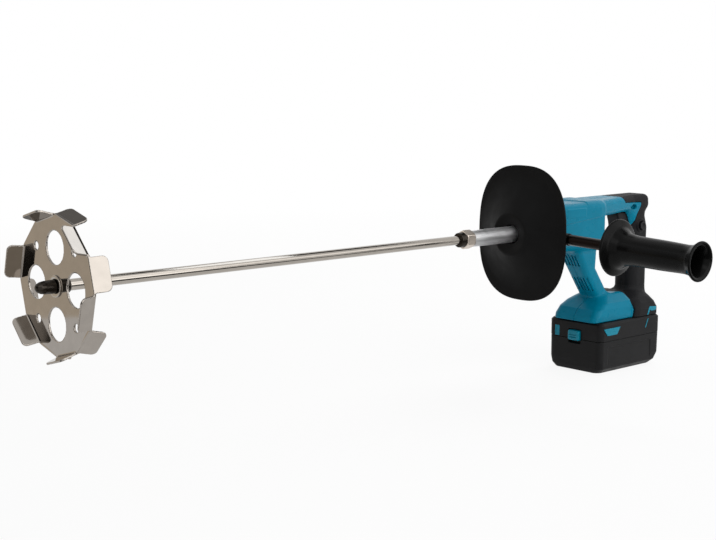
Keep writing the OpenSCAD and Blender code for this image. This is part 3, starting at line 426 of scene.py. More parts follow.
def hollow_form(x, y, z):
    """Space for the motor, the trigger, the lock button, the rail and the screw heads."""
    out = rod_form(x, y, z - spindle_z, barrel_front - 20, barrel_rear - 3, motor_bore)
    slot_half = trigger_high[1] + play
    slot = box_form(x, y, z, (grip_front - 40, -slot_half, trigger_low[2] - play),
                    (grip_front + 12, slot_half, trigger_high[2] + play), 0.3)
    rail = box_form(x, y, z, (-32.4, -rail_half, foot_low - 9), (52, rail_half, foot_low + 4), 0.3)
    out = np.minimum(np.minimum(out, slot), np.minimum(lock_hole(x, y, z), rail))
    along = np.maximum(np.abs(x - grip_front + 2) - oval_half, 0)
    out = np.minimum(out, rod_form(-y, along, z - bar_low - 4.6, oval_floor, far_out, oval_r))
    for at_x, at_z, side in screw_places:
        out = np.minimum(out, rod_form(side * y, x - at_x, z - at_z, screw_floor, far_out, screw_bore))
    return np.minimum(out, vent_form(x, y, z))


bare_z, bare_half, bare_deep = 109, 9, 2.6
split_slant = 0.73
cover_gap, cover_edge, middle_gap, middle_edge = 0.12, 0.35, 0.05, 0.25


def cover_zone(x, y, z):
    """Where the black cover lies: a plan in x and z above the foot, without a strip at the grip's back,
    and a slanted split across the foot."""
    upper = outline_form(x, z, [
        (0, top + 9), (8, top - 6), (43, top - 7.5), (41, bar_low + 2), (36, bar_low - 8),
        (31, bar_low - 18), (26, bar_low - 25), (10, bar_low - 27), (10, foot_crown + 2),
        (90, foot_crown + 2), (90, top + 9)])
    strip = np.maximum(np.abs(z - bare_z) - bare_half, grip_rear - bare_deep - x)
    upper = np.maximum(upper, -strip)
    shift = np.interp(z, [foot_low, foot_crown + 2], [-4, 5])
    slope = (foot_split - 30 + 28 * np.clip(np.abs(y) / 30, 0, 1) + shift - x) * split_slant
    lower = np.maximum(slope, z - foot_crown - 2.1)
    return np.minimum(upper, lower)


def shell_half(side, black):
    """One shell: the outer form, without the hollow, on its side of the middle and of the cover's edge."""
    def formula(x, y, z):
        form = cut(outer_form(x, y, z), hollow_form(x, y, z), 0.5)
        zone = cover_zone(x, y, z)
        form = rounded_meet(form, (zone if black else -zone) + cover_gap, cover_edge)
        if black and side < 0:
            ring = rod_form(-y, x - boss_x, z - boss_z, 10, grip_half + 1.5, 8.0, 0.8)
            form = cut(join(form, ring, 1.5), lock_hole(x, y, z), 0.4)
        return rounded_meet(form, -side * y + middle_gap, middle_edge)
    return formula


# %% The four shells
shell_step = 0.88
for side, word in ((-1, "left"), (1, "right")):
    low_y, high_y = sorted((0, side * 34))
    fielded("shell_" + word, shell_half(side, False), (barrel_front, low_y, foot_low),
            (44, high_y, grip_top), shell_step, "tool", "shell_teal", ["housing_" + word])
    low_y, high_y = sorted((0, side * 39))
    fielded("cover_" + word, shell_half(side, True), (-18, low_y, foot_low),
            (grip_rear + 1, high_y, grip_top), shell_step, "tool", "grip_rubber", ["grip_cover_" + word])

# %% [markdown]
# ## The battery
# The pack is two moulded cases with a seam, a chamfered rim that catches the light, trim pieces in its
# sides and a sprung button in a pocket. The same field method gives the pocket and the rail channel.

# %% Battery cases
button_low, button_high = box_mm("release_button")
seam = lower_high[2]
pocket_deep, catch_low, catch_half, catch_top = 5.6, 40.0, 7, 53
slide_half, neck_half, slide_low, slide_top = 24.4, 18.4, 50, 55.4


def battery_pocket(x, y, z):
    """Pocket for the button, with the way of its tongue."""
    low, high = seam - pocket_deep, 49.2
    pocket = box_form(x, y, z, (button_low[0] - 9, -9.2, low), (batt_low[0] + pocket_deep, 9.2, high), 1.4)
    arm = box_form(x, y, z, (batt_low[0] - 2, -6, catch_low), (batt_low[0] + 12, 6, 47.2), 0.2)
    return np.minimum(pocket, arm)


def lower_case(x, y, z):
    """Column that widens upwards, with a panel in each side."""
    a, b, w = lower_low[0], lower_high[0], lower_high[1]
    form = column_form(
        x, y, z, [0, 5, 13, seam - 0.1], [a + 2, a + 0.6, a, a], [b - 11, b - 5, b - 0.5, b],
        [w - 5.5, w - 1.2, w - 0.3, w - 0.1], [9, 8, 7, 7], 0.6)
    panel = np.maximum(np.abs(z - 19.5) - 11, np.abs(x + 2) - 41)
    form = cut(form, np.maximum(panel, w - 0.8 - np.abs(y)), 0.6)
    return cut(form, battery_pocket(x, y, z), 0.8)


def upper_case(x, y, z):
    """Low column with a chamfered rim, open for the rail and the catch."""
    a, b, w, high = batt_low[0], batt_high[0], batt_high[1], batt_high[2]
    form = column_form(x, y, z, [seam + 0.1, seam + 0.8, high - 2.4, high],
                       [a + 0.4, a + 0.1, a + 0.1, a + 2.2], [b - 0.5, b, b, b - 2.2],
                       [w - 0.4, w, w, w - 2.2], [7, 7, 7, 6], 0.3)
    slide = box_form(x, y, z, (-40, -slide_half, slide_low), (90, slide_half, slide_top), 0.2)
    neck = box_form(x, y, z, (-40, -neck_half, slide_low), (90, neck_half, 75), 0.2)
    catch = box_form(x, y, z, (-52, -catch_half, catch_low), (-22, catch_half, catch_top), 0.2)
    form = np.maximum(form, -np.minimum(np.minimum(slide, neck), catch))
    return cut(form, battery_pocket(x, y, z), 0.8)


case_step = 0.77
fielded("battery_bottom", lower_case, lower_low, lower_high, case_step,
        "battery", "battery_black", ["battery_lower_case"])
fielded("battery_top", upper_case, batt_low, batt_high, case_step,
        "battery", "battery_black", ["battery_upper_case"])


# %% Release button
head_deep, head_tall, groove_half, groove_deep = 8.5, 12.5, 0.35, 0.8
tongue_half, tongue_low, tongue_end = 5.5, 43.6, -29


def button_form(x, y, z):
    """Grooved head with a tongue that ends in a hook."""
    head_high = (button_low[0] + head_deep, button_high[1], button_low[2] + head_tall)
    head = box_form(x, y, z, button_low, head_high, 2.6)
    grooves = np.minimum(np.abs(z - button_low[2] - 4.2), np.abs(z - button_low[2] - 7.0)) - groove_half
    grooves = np.maximum(grooves, np.maximum(x - button_low[0] - groove_deep, np.abs(y) - 5))
    head = cut(head, grooves, 0.4)
    for front, high in ((button_low[0] + 7, 46.6), (tongue_end - 5, button_high[2])):
        arm = box_form(x, y, z, (front, -tongue_half, tongue_low), (tongue_end, tongue_half, high), 0.5)
        head = np.minimum(head, arm)
    return head


fielded("button_cap", button_form, button_low, button_high, 0.4,
        "release_button", "trim_teal", ["release_button"])

# %% [markdown]
# ## Trigger and lock button
# A trigger is a block with a hollow for the finger. A plain cylinder cut would leave a sharp edge, so
# the hollow is blended in, as a mould maker would.

# %% Trigger and lock
finger_r, finger_ahead, finger_under = 24, 20, 2


def trigger_form(x, y, z):
    """Rounded block with a hollow for the finger: a cylinder whose axis lies ahead of the block."""
    block = box_form(x, y, z, trigger_low, trigger_high, 2.4)
    middle = (trigger_low[2] + trigger_high[2]) / 2
    finger = np.hypot(x - trigger_low[0] + finger_ahead, z - middle + finger_under) - finger_r
    return cut(block, finger, 2.0)


fielded("trigger_lever", trigger_form, trigger_low, trigger_high, 0.45,
        "trigger", "black_plastic", ["trigger"])
lock_low, lock_high = box_mm("lock_button")


def towards_viewer(x, z, start):
    """Place for a turned piece whose height runs from y = start towards -Y."""
    def place(points):
        return np.stack([x + points[:, 0], start - points[:, 2], z + points[:, 1]], axis=1)
    return place


lock_len = lock_high[1] - lock_low[1]
lock_profile = smooth_profile([
    (0, 0), (0, 5), (lock_len, 5), (lock_len, 3.6), (lock_len - 1.0, 2.2), (lock_len - 1.2, 0)], 0.6)
turned("lock_cap", lock_profile,
       towards_viewer(boss_x, boss_z, lock_high[1]), "lock_button", "black_plastic", ["lock_button"], 64)


# %% Screws with a six-lobed socket
screw_around, socket_row, socket_wave = 48, 6, 0.16
screw_profile = np.array([(-9.8, 0), (-9.8, 1.55), (7, 1.55), (7, 3.15), (8.6, 3.15), (9.3, 2.5),
                          (9.4, 1.5), (7.6, 1.4), (7.6, 0)])


def screw_points(place_x, place_z, side):
    """Rings of a screw. From socket_row on, they are lobed: r (1 + socket_wave cos 6a)."""
    angle = full_turn(screw_around)
    wave = np.where(np.arange(len(screw_profile)) >= socket_row, socket_wave, 0.0)[:, None]
    radius = screw_profile[:, 1:] * (1 + wave * np.cos(6 * angle))
    points = np.stack([place_x + radius * np.cos(angle), side * (screw_profile[:, :1] + 0 * angle),
                       place_z + radius * np.sin(angle)], axis=-1)
    return points.reshape(-1, 3)


screws = np.concatenate([screw_points(*place) for place in screw_places])
one_screw = grid_faces(len(screw_profile), screw_around)
faces = np.concatenate([one_screw + k * screw_around * len(screw_profile) for k in range(len(screw_places))])
clean_mesh(make_mesh("shell_screws", screws, faces, "tool", "dark_hardware", ["housing_screws"]))

# %% [markdown]
# ## The mixing disc
# The disc is stamped from sheet steel: a twelve-sided plate with holes, and a tab bent from each side,
# to the front and to the rear in turn. Twelve copies could be turned into place. Folding the angle does
# it in one go: every point is turned into the nearest sector first, and only one tab is described.

# %% Disc from one folded sector
sheet_half, apothem, tab_half, tab_length, tab_corner = 1.0, 59.5, 15.0, 15.5, 5.0
lean = np.radians(73.0)
big_at, big_r, small_at, small_r, bore_r = 32.6, 14.5, 31.47, 3.7, 4.0


def disc_form(x, y, z):
    """Plate and tabs. In a sector, out is the distance from the axis towards the fold, side runs along
    the fold and depth along the axis. The tab's own direction is (cos lean, sin lean) in out and depth."""
    down, depth = spindle_z - z, x - disc_x
    angle = np.arctan2(y, down)
    sector = np.round((np.degrees(angle) - 180) / 30 - 0.5)
    turn = angle - np.radians(180 + (sector + 0.5) * 30)
    away = np.hypot(y, down)
    out, side = away * np.cos(turn), away * np.sin(turn)
    bend = np.where(sector % 2 == 0, 1.0, -1.0)
    along = (out - apothem + 1) * np.cos(lean) + bend * depth * np.sin(lean)
    through = depth * np.cos(lean) - bend * (out - apothem + 1) * np.sin(lean)
    length = np.abs(along - (tab_length - 8) / 2) - (tab_length + 8) / 2
    rim = rounded_meet(length, np.abs(side) - tab_half, tab_corner)
    tab = rounded_meet(np.maximum(rim, -along - 0.4), np.abs(through) - sheet_half, 0.5)
    big = np.minimum(np.hypot(np.abs(down) - big_at, y), np.hypot(down, np.abs(y) - big_at)) - big_r
    small = np.hypot(np.abs(down) - small_at, np.abs(y) - small_at) - small_r
    holes = np.minimum(np.minimum(big, small), np.hypot(down, y) - bore_r)
    plate = rounded_meet(np.maximum(out - apothem, -holes), np.abs(depth) - sheet_half, 0.45)
    return join(plate, tab, 1.2)


disc_step = 0.74
fielded("disc_sheet", disc_form, disc_low, disc_high, disc_step, "mixer", "disc_steel", ["mixing_disc"])

# %% [markdown]
# ## Rod, sleeve and nuts
# These are turned parts, so each is one profile swept round the spindle axis. On the sleeve's hexagon
# the radius also depends on the angle: it is the smaller of the profile and the flat's distance.

# %% Sleeve with its hexagon
sleeve_low, sleeve_high = box_mm("coupling_sleeve")
nose_len, hex_len, flat = 6.5, 12.0, 9.0
hex_end = nose_len + hex_len


def hexagon(radius, angle):
    """r = flat / cos(angle to the nearest flat) where the profile is wider than the flat."""
    to_flat = (angle - np.pi / 6) % (np.pi / 3) - np.pi / 6
    return np.minimum(radius, flat / np.cos(to_flat))


sleeve_len = sleeve_high[0] - sleeve_low[0]
sleeve_profile = smooth_profile([
    (0, 4.7), (0, 7.2), (0.8, 7.9), (nose_len, 8.2), (nose_len, 9.3), (nose_len + 1.0, 10.39),
    (hex_end - 1.0, 10.39), (hex_end, 9.3), (hex_end, 9.0), (sleeve_len - 0.8, 9.0), (sleeve_len, 8.2),
    (sleeve_len, 6.0)], 0.5)
coupling = turned("rod_coupling", sleeve_profile, along_spindle(sleeve_low[0]), "mixer",
                  "bright_steel", ["coupling_sleeve"], 144, hexagon).data

# %% Rod, cap nut, washers and collar
rod_low, rod_high = box_mm("mixing_rod")
cap_low, cap_high = box_mm("disc_cap")
washer_low, washer_high = box_mm("disc_washers")
collar_low, collar_high = box_mm("disc_collar")
stud_end = collar_high[0] - rod_low[0]
rod_len = rod_high[0] - rod_low[0]
rod_profile = smooth_profile([
    (0, 0), (0, 4), (stud_end, 4), (stud_end, 4.6), (stud_end + 0.8, 5), (rod_len, 5), (rod_len, 0)], 0.4)
cap_len = cap_high[0] - cap_low[0]
cap_profile = smooth_profile([
    (cap_len, 4.0), (cap_len, 6.0), (cap_len - 1.2, 6.0), (0.45 * cap_len, 5.7), (0.24 * cap_len, 5.0),
    (0.08 * cap_len, 3.6), (0, 1.9), (0, 0)], 0.9)
washer_t = 1.5
washer = closed_ring([(0, 4.0), (0, 9.5), (washer_t, 9.5), (washer_t, 4.0)], 0.45)
collar_len = collar_high[0] - collar_low[0]
collar = closed_ring([(0, 4.0), (0, 6.6), (collar_len, 6.6), (collar_len, 4.6)], 0.6)
for name, profile, x, slot, solids in (
        ("rod_bar", rod_profile, rod_low[0], "bright_steel", ["mixing_rod"]),
        ("cap_nut", cap_profile, cap_low[0], "dark_hardware", ["disc_cap"]),
        ("washer_front", washer, washer_low[0], "bright_steel", ["disc_washers"]),
        ("washer_rear", washer, washer_high[0] - washer_t, "bright_steel", []),
        ("stud_collar", collar, collar_low[0], "dark_hardware", ["disc_collar"])):
    turned(name, profile, along_spindle(x), "mixer", slot, solids, 64)

# %% [markdown]
# ## The side handle
# The side handle is one moulding with a flange, a waisted grip and a flared open end. It is swept round
# its own axis, which droops a little, and sits on a clamp band that holds the gear case's nose.

# %% Place along the handle
handle_dir = np.array(joint_of["grip_turn"]["axis"])
handle_up = np.cross([1.0, 0, 0], handle_dir)


def along_handle(points):
    """Height runs outwards from the spindle axis along the handle."""
    base = np.array([handle_x, 0, spindle_z])
    across = points[:, :1] * np.array([1.0, 0, 0])
    return base + across + points[:, 1:2] * handle_up + points[:, 2:] * handle_dir


flange_at, flange_r, grip_r, grip_end, flare_r, hollow = 127.4, 30.8, 16.0, 232.0, 21.1, 48.0
grip_profile = smooth_profile([
    (flange_at - 3, 6.0), (flange_at - 3.2, 9), (flange_at - 4, flange_r - 9),
    (flange_at - 1.5, flange_r - 1.2),
    (flange_at, flange_r), (flange_at + 1.8, flange_r - 0.9), (flange_at + 4.5, flange_r - 8),
    (flange_at + 8.5, grip_r + 4.4), (flange_at + 14, grip_r + 1.4), (flange_at + 26, grip_r),
    (flange_at + 60, grip_r - 0.1), (grip_end - 16, grip_r - 0.9), (grip_end - 9, grip_r + 0.2),
    (grip_end - 4.6, flare_r - 1.9), (grip_end - 1.9, flare_r),
    (grip_end - 0.4, flare_r - 0.5), (grip_end - 0.1, flare_r - 2.2), (grip_end - 1.4, flare_r - 4.6),
    (grip_end - 8, grip_r - 3.0), (grip_end - 16, grip_r - 3.9), (grip_end - hollow, grip_r - 4.6),
    (grip_end - hollow - 1, 0)], 4.0, 5)
turned("side_grip", grip_profile, along_handle, "side_handle", "handle_black", ["handle_grip"], 128)

# %% Clamp band
band_low, band_high = box_mm("handle_clamp")
band_r, band_half_t, band_half_w, nose_room = 24.6, 2.45, 7, 22.06
neck, rib = (23.5, 63, 6.8), (33, 42, 9.8)


def clamp_form(x, y, z):
    """A band round the nose, joined to the neck that the bar screws into, with a rib round the neck."""
    about = np.hypot(y, z - spindle_z)
    band = rounded_meet(np.abs(about - band_r) - band_half_t, np.abs(x - handle_x) - band_half_w, 0.7)
    out = y * handle_dir[1] + (z - spindle_z) * handle_dir[2]
    up = y * handle_up[1] + (z - spindle_z) * handle_up[2]
    form = join(band, rod_form(out, x - handle_x, up, *neck), 3.0)
    form = join(form, rod_form(out, x - handle_x, up, *rib, 1.5), 1.2)
    return np.maximum(form, nose_room - about)


fielded("clamp_band", clamp_form, band_low, band_high, 0.6, "handle_clamp", "handle_black", ["handle_clamp"])

# %% [markdown]
# ## The splash guard
# The guard is a flexible sheet with a rounded-square outline. It is domed towards the disc, so its rim
# is swept back. Its surface is a function of the angle and of the share of the way to the outline.

# %% Guard sheet
guard_low, guard_high = box_mm("splash_guard")
guard_half_w, guard_half_h = guard_high[1], (guard_high[2] - guard_low[2]) / 2
guard_power, guard_hole, ridge_r, sweep, funnel, sheet_t = 2.6, 10.6, 23.0, 19.6, 3.0, 2.5


def guard_rows(share, angle):
    """Distance from the axis: from the hole to the outline |cos/a|^p + |sin/b|^p = r^-p."""
    rim = (np.abs(np.cos(angle) / guard_half_h) ** guard_power
           + np.abs(np.sin(angle) / guard_half_w) ** guard_power) ** (-1 / guard_power)
    return guard_hole + (rim - guard_hole) * share


def guard_depth(r):
    """Funnel inside the ridge, and a sweep that flattens towards the rim outside it."""
    inner = funnel * np.clip((ridge_r - r) / (ridge_r - guard_hole), 0, 1) ** 1.4
    outer = sweep * (1 - (1 - np.clip((r - ridge_r) / (66 - ridge_r), 0, 1)) ** 1.5)
    return inner + outer


guard_around = 180
share = np.concatenate([np.linspace(0, 0.12, 10), np.linspace(0.14, 0.98, 34)])
angle = full_turn(guard_around)
edge = [(0.992, 0.12), (0.999, 0.5), (1.0, 0.5 * sheet_t), (0.999, sheet_t - 0.5), (0.992, sheet_t - 0.12)]
rows = np.array([(s, 0.0) for s in share] + edge + [(s, sheet_t) for s in share[::-1]] + [(0.0, 0.0)])
radius = guard_rows(rows[:, :1], angle)
points = np.stack([guard_low[0] + guard_depth(radius) + rows[:, 1:], radius * np.sin(angle),
                   spindle_z - radius * np.cos(angle)], axis=-1).reshape(-1, 3)
guard_faces = grid_faces(len(rows), guard_around)
clean_mesh(make_mesh("guard_sheet", points, guard_faces, "tool", "guard_black", ["splash_guard"]))
collar_r, spigot_r, spigot_len, spigot_at = 20.2, 18.02, 14.6, guard_low[0] + 2.2
ring = closed_ring([(0, spigot_r), (0, collar_r), (spigot_len, collar_r), (spigot_len, spigot_r)], 0.5)
turned("guard_collar", ring, along_spindle(spigot_at), "tool", "guard_black", [], 96)

# %% [markdown]
# ## Parts that keep their solid's shape
# The gear case, the rail, the bar and the trims are already right as solids. A copy of each is merged
# and its edges are beveled, because a real edge always catches a thin line of light.

# %% Beveled copies
def dressed(node, body, slot, width):
    """Copy of a solid's mesh with its loose triangles merged and its sharp edges beveled."""
    source = frame["nodes"][node]
    piece = add_object(node + "_finished", source.data.copy())
    clean_mesh(piece)
    bevel = piece.modifiers.new("edge", "BEVEL")
    bevel.width = width * MM
    bevel.segments = 2
    bevel.limit_method = "ANGLE"
    bevel.angle_limit = np.radians(35)
    piece.data.polygons.foreach_set("use_smooth", np.ones(len(piece.data.polygons), bool))
    smooth = piece.modifiers.new("shade", "WEIGHTED_NORMAL")
    smooth.keep_sharp = True
    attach(piece, body)
    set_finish(piece, slot)
    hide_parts(node)
    print(node, "beveled by", width, "mm")


dressed("gear_case", "tool", "case_alloy", 0.6)
dressed("guard_ring", "tool", "dark_hardware", 0.5)
dressed("handle_bar", "side_handle", "dark_hardware", 0.4)
dressed("battery_rail", "tool", "black_plastic", 0.3)
dressed("battery_inserts", "battery", "trim_teal", 0.25)
dressed("motor_plate", "tool", "case_alloy", 0.3)


# %% Accents on the near side of the foot and the battery
def inlay(form, depth=0.22):
    """Thin layer along a form's surface, from just under it to depth above it."""
    return np.maximum(form - depth, -form - 0.5)


def accent(name, outline, surface, body):
    """Thin raised trim on the near side, which follows a surface inside an outline in x and z."""
    def formula(x, y, z):
        layer = np.maximum(inlay(surface(x, y, z)), y + 15)
        return rounded_meet(layer, outline_form(x, z, outline), 0.12)
    (front, low), (back, high) = np.min(outline, axis=0), np.max(outline, axis=0)
    fielded(name, formula, (front, -40, low), (back, -20, high), 0.3, body, "trim_teal")


accent("foot_slash", [(32.6, 60.6), (34.4, 60.6), (38.2, 66.6), (41.4, 65.0), (50.4, 65.4), (51.0, 69.6),
                      (38.0, 70.6), (35.6, 68.6)], outer_form, "tool")
accent("battery_slash", [(27.2, 46.0), (28.6, 46.0), (33.8, 56.8), (32.2, 56.8)], upper_case, "battery")


def front_trim(x, y, z):
    """Trim on the battery's front, near its far edge."""
    plate = box_form(x, y, z, (batt_low[0] - 0.2, 22.6, seam + 0.6), (batt_low[0] + 2, 30.0, 51.4), 1.0)
    return rounded_meet(inlay(upper_case(x, y, z), 0.3), plate, 0.15)


fielded("battery_front_trim", front_trim, (batt_low[0] - 0.4, 22, seam), (batt_low[0] + 2, 31, 52), 0.3,
        "battery", "trim_teal")

# %% [markdown]
# # Finishes
# Moulded plastic is never one flat colour: it has a fine spark-eroded grain, a slow change of gloss,
# and slow patches of paler and darker tone. Steel is the opposite: the colour is even, and the surroundings are
# seen in it, so its finish is mostly roughness and a faint waviness.

# %% Node helpers
noise_low, noise_high = 0.3, 0.7


def new_node(tree, kind, **settings):
    """New shader node. Each setting is the plain value of the input of that name."""
    node = tree.nodes.new("ShaderNode" + kind)
    for name, value in settings.items():
        node.inputs[name].default_value = value
    return node


def new_material(name):
    """New material with its node tree, its shader and the node that gives places on the object."""
    material = bpy.data.materials.new(name)
    material.use_nodes = True
    tree = material.node_tree
    return material, tree, tree.nodes["Principled BSDF"], new_node(tree, "TexCoord")


def noise(tree, place, scale, detail, stretch=(1, 1, 1)):
    """Noise on object coordinates, in repeats per metre, stretched along the axes."""
    mapping = new_node(tree, "Mapping", Scale=stretch)
    texture = new_node(tree, "TexNoise", Scale=scale, Detail=detail)
    tree.links.new(place.outputs["Object"], mapping.inputs["Vector"])
    tree.links.new(mapping.outputs["Vector"], texture.inputs["Vector"])
    return texture.outputs["Fac"]


def ramp(tree, value, low, high):
    """Colour between two colours, as a noise goes from noise_low to noise_high."""
    node = new_node(tree, "ValToRGB")
    stops = node.color_ramp.elements
    stops[0].position, stops[1].position = noise_low, noise_high
    stops[0].color, stops[1].color = (*low, 1), (*high, 1)
    tree.links.new(value, node.inputs["Fac"])
    return node.outputs["Color"]


def map_range(tree, value, source, target):
    """Carries a value from the source range to the target range, clamped to its ends."""
    node = new_node(tree, "MapRange")
    for end, number in zip(("From Min", "From Max", "To Min", "To Max"), (*source, *target)):
        node.inputs[end].default_value = number
    tree.links.new(value, node.inputs["Value"])
    return node.outputs["Result"]


def maths(tree, operation, *sockets, kind="Math"):
    """One arithmetic node on numbers, or on vectors where its kind is VectorMath."""
    node = new_node(tree, kind)
    node.operation = operation
    for taker, giver in zip(node.inputs, sockets):
        tree.links.new(giver, taker)
    return node.outputs["Value" if kind == "Math" or operation == "LENGTH" else "Vector"]


def bump(tree, shader, heights):
    """Chains one bump node for each (height, strength, distance in millimetres)."""
    normal = None
    for height, strength, distance in heights:
        node = new_node(tree, "Bump", Strength=strength, Distance=distance * MM)
        tree.links.new(height, node.inputs["Height"])
        if normal is not None:
            tree.links.new(normal, node.inputs["Normal"])
        normal = node.outputs["Normal"]
    tree.links.new(normal, shader.inputs["Normal"])


def tint(colour, factor):
    """Colour made lighter or darker."""
    return tuple(min(1.0, c * factor) for c in colour)


# %% Moulded plastic and rubber
def moulded(name, colour, roughness, grain, depth, spread, specular=0.5):
    """Spark-eroded plastic: fine grain in the bump, slow patches in the colour and the gloss."""
    material, tree, shader, place = new_material(name)
    patches = noise(tree, place, 35, 4)
    shades = ramp(tree, patches, tint(colour, 1 - spread), tint(colour, 1 + spread))
    tree.links.new(shades, shader.inputs["Base Color"])
    gloss = ramp(tree, noise(tree, place, 90, 5), (roughness - 0.05,) * 3, (roughness + 0.07,) * 3)
    tree.links.new(gloss, shader.inputs["Roughness"])
    shader.inputs["Specular IOR Level"].default_value = specular
    fine = (noise(tree, place, grain, 2), 0.5, depth)
    bump(tree, shader, [fine, (noise(tree, place, 160, 3), 0.25, 0.05)])
    return material


# %% Steel and cast metal
def metal(name, colour, roughness, turned_by, wave=0.02, grain=0.0, spread=0.04):
    """Metal with slow waviness. Turned marks run round the X axis: they tip the normal along X by
    turned_by at most, so that lights smear along the axis and stay sharp across it."""
    material, tree, shader, place = new_material(name)
    tone = noise(tree, place, 120, 2)
    shades = ramp(tree, tone, tint(colour, 1 - spread), tint(colour, 1 + spread))
    tree.links.new(shades, shader.inputs["Base Color"])
    smudges = noise(tree, place, 60, 3)
    gloss = ramp(tree, smudges, (max(0.02, roughness - 0.02),) * 3, (roughness + 0.03,) * 3)
    tree.links.new(gloss, shader.inputs["Roughness"])
    shader.inputs["Metallic"].default_value = 1.0
    heights = [(noise(tree, place, 25, 1), 0.2, wave)]
    if grain:
        heights.append((noise(tree, place, 700, 3), 0.4, grain))
    bump(tree, shader, heights)
    if turned_by:
        marks = noise(tree, place, 5000, 0, (1, 0, 0))
        along = new_node(tree, "CombineXYZ")
        tip = map_range(tree, marks, (noise_low, noise_high), (-turned_by, turned_by))
        tree.links.new(tip, along.inputs["X"])
        normal = shader.inputs["Normal"].links[0].from_socket
        total = maths(tree, "ADD", normal, along.outputs["Vector"], kind="VectorMath")
        unit = maths(tree, "NORMALIZE", total, kind="VectorMath")
        tree.links.new(unit, shader.inputs["Normal"])
    return material


finish = {
    "shell_teal": moulded("teal shell", (0.0, 0.190, 0.300), 0.30, 1500, 0.03, 0.05, 0.10),
    "grip_rubber": moulded("black rubber", (0.008, 0.008, 0.009), 0.55, 1100, 0.06, 0.15, 0.12),
    "black_plastic": moulded("black plastic", (0.007, 0.007, 0.008), 0.40, 1300, 0.04, 0.1, 0.15),
    "guard_black": moulded("guard sheet", (0.006, 0.006, 0.006), 0.50, 500, 0.06, 0.2, 0.06),
    "handle_black": moulded("handle moulding", (0.003, 0.003, 0.003), 0.24, 1200, 0.01, 0.12, 0.08),
    "battery_black": moulded("battery case", (0.008, 0.008, 0.0085), 0.42, 1600, 0.04, 0.12, 0.12),
    "trim_teal": moulded("teal trim", (0.0, 0.22, 0.32), 0.25, 900, 0.01, 0.05, 0.2),
    "disc_steel": metal("polished sheet", (0.315, 0.287, 0.258), 0.05, 0.0, 0.03),
    "bright_steel": metal("ground steel", (0.37, 0.34, 0.305), 0.07, 0.03, 0.0),
    "dark_hardware": metal("oxide steel", (0.030, 0.026, 0.022), 0.24, 0.0, 0.02, 0.02, 0.15),
    "gear_steel": metal("machined steel", (0.45, 0.45, 0.44), 0.25, 0.1),
    "case_alloy": metal("cast alloy", (0.10, 0.10, 0.105), 0.42, 0.0, 0.05, 0.08, 0.1),
    "motor_iron": metal("laminated iron", (0.22, 0.23, 0.25), 0.35, 0.3),
    "copper": metal("bare copper", (0.70, 0.36, 0.18), 0.25, 0.1),
    "board_green": moulded("circuit board", (0.02, 0.12, 0.06), 0.35, 700, 0.02, 0.2),
    "cell_wrap": moulded("cell wrap", (0.05, 0.22, 0.14), 0.3, 600, 0.01, 0.08),
}
own_finish = {
    "rod_coupling": metal("turned chrome", (0.84, 0.84, 0.85), 0.36, 0.35, 0.0),
    "handle_bar_finished": metal("blackened bar", (0.010, 0.007, 0.006), 0.24, 0.0, 0.0),
}

# %% Give every piece and every solid its finish
slot_of = {row["node"]: row["material_slot"] for row in frame["record"]["subparts"]}
for name, node in frame["nodes"].items():
    node.data.materials.clear()
    node.data.materials.append(finish[slot_of[name]])
for piece in [o for o in bpy.context.scene.objects if o.type == "MESH" and "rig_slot" in o]:
    piece.data.materials.clear()
    piece.data.materials.append(own_finish.get(piece.name, finish[piece["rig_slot"]]))
coupling.materials.append(metal("hexagon steel", (0.62, 0.55, 0.48), 0.30, 0.0, 0.0))
coupling.materials.append(finish["dark_hardware"])
nose_back, hex_back = ((sleeve_low[0] + end) * MM for end in (nose_len - 0.05, hex_end))
for face in coupling.polygons:
    face.material_index = int(face.center.x < hex_back) + int(face.center.x < nose_back)
print("finishes:", len(finish))

# %% [markdown]
# # Studio
# The photograph is a catalogue picture: white all round, with broad soft light from above. Polished
# steel only looks like steel when it has something dark to reflect, so cards lie and stand round the
# tool that nothing but reflections can see. Each glows with an even colour of its own and paints a
# reflection: most are dark, and a few are pale, tan or bright, and the bright ones paint highlights.

# %% Helpers of the studio, and its world
def plain_quad(name, centre, right, up, width, height):
    """Flat rectangle round a centre, spanned by two unit directions."""
    centre, right, up = (np.array(v, float) for v in (centre, right, up))
    signs = ((-1, -1), (1, -1), (1, 1), (-1, 1))
    corners = [centre + a * right * width / 2 + b * up * height / 2 for a, b in signs]
    mesh = bpy.data.meshes.new(name)
    mesh.from_pydata([tuple(c) for c in corners], [], [(0, 1, 2, 3)])
    item = add_object(name, mesh)
    return item


def seen_white(tree):
    """Factor that is 1 for rays from the camera, from gloss and through glass."""
    path = new_node(tree, "LightPath")
    direct = maths(tree, "MAXIMUM", path.outputs["Is Camera Ray"], path.outputs["Is Glossy Ray"])
    return maths(tree, "MAXIMUM", direct, path.outputs["Is Transmission Ray"])


def mix_shaders(tree, share, first, second):
    """The first shader where share is 0, the second where it is 1."""
    node = new_node(tree, "MixShader")
    for socket, source in zip(node.inputs, (share, first, second)):
        tree.links.new(source, socket)
    return node.outputs[0]


white, room_light = (1, 1, 1, 1), 0.28
world = bpy.data.worlds.new("studio")
bpy.context.scene.world = world
world.use_nodes = True
tree = world.node_tree
tree.nodes.clear()
soft = new_node(tree, "Background", Color=white, Strength=room_light)
full = new_node(tree, "Background", Color=white, Strength=1.0)
sky = mix_shaders(tree, seen_white(tree), soft.outputs[0], full.outputs[0])
tree.links.new(sky, new_node(tree, "OutputWorld").inputs["Surface"])
print("the room gives light of", room_light, "and looks white")

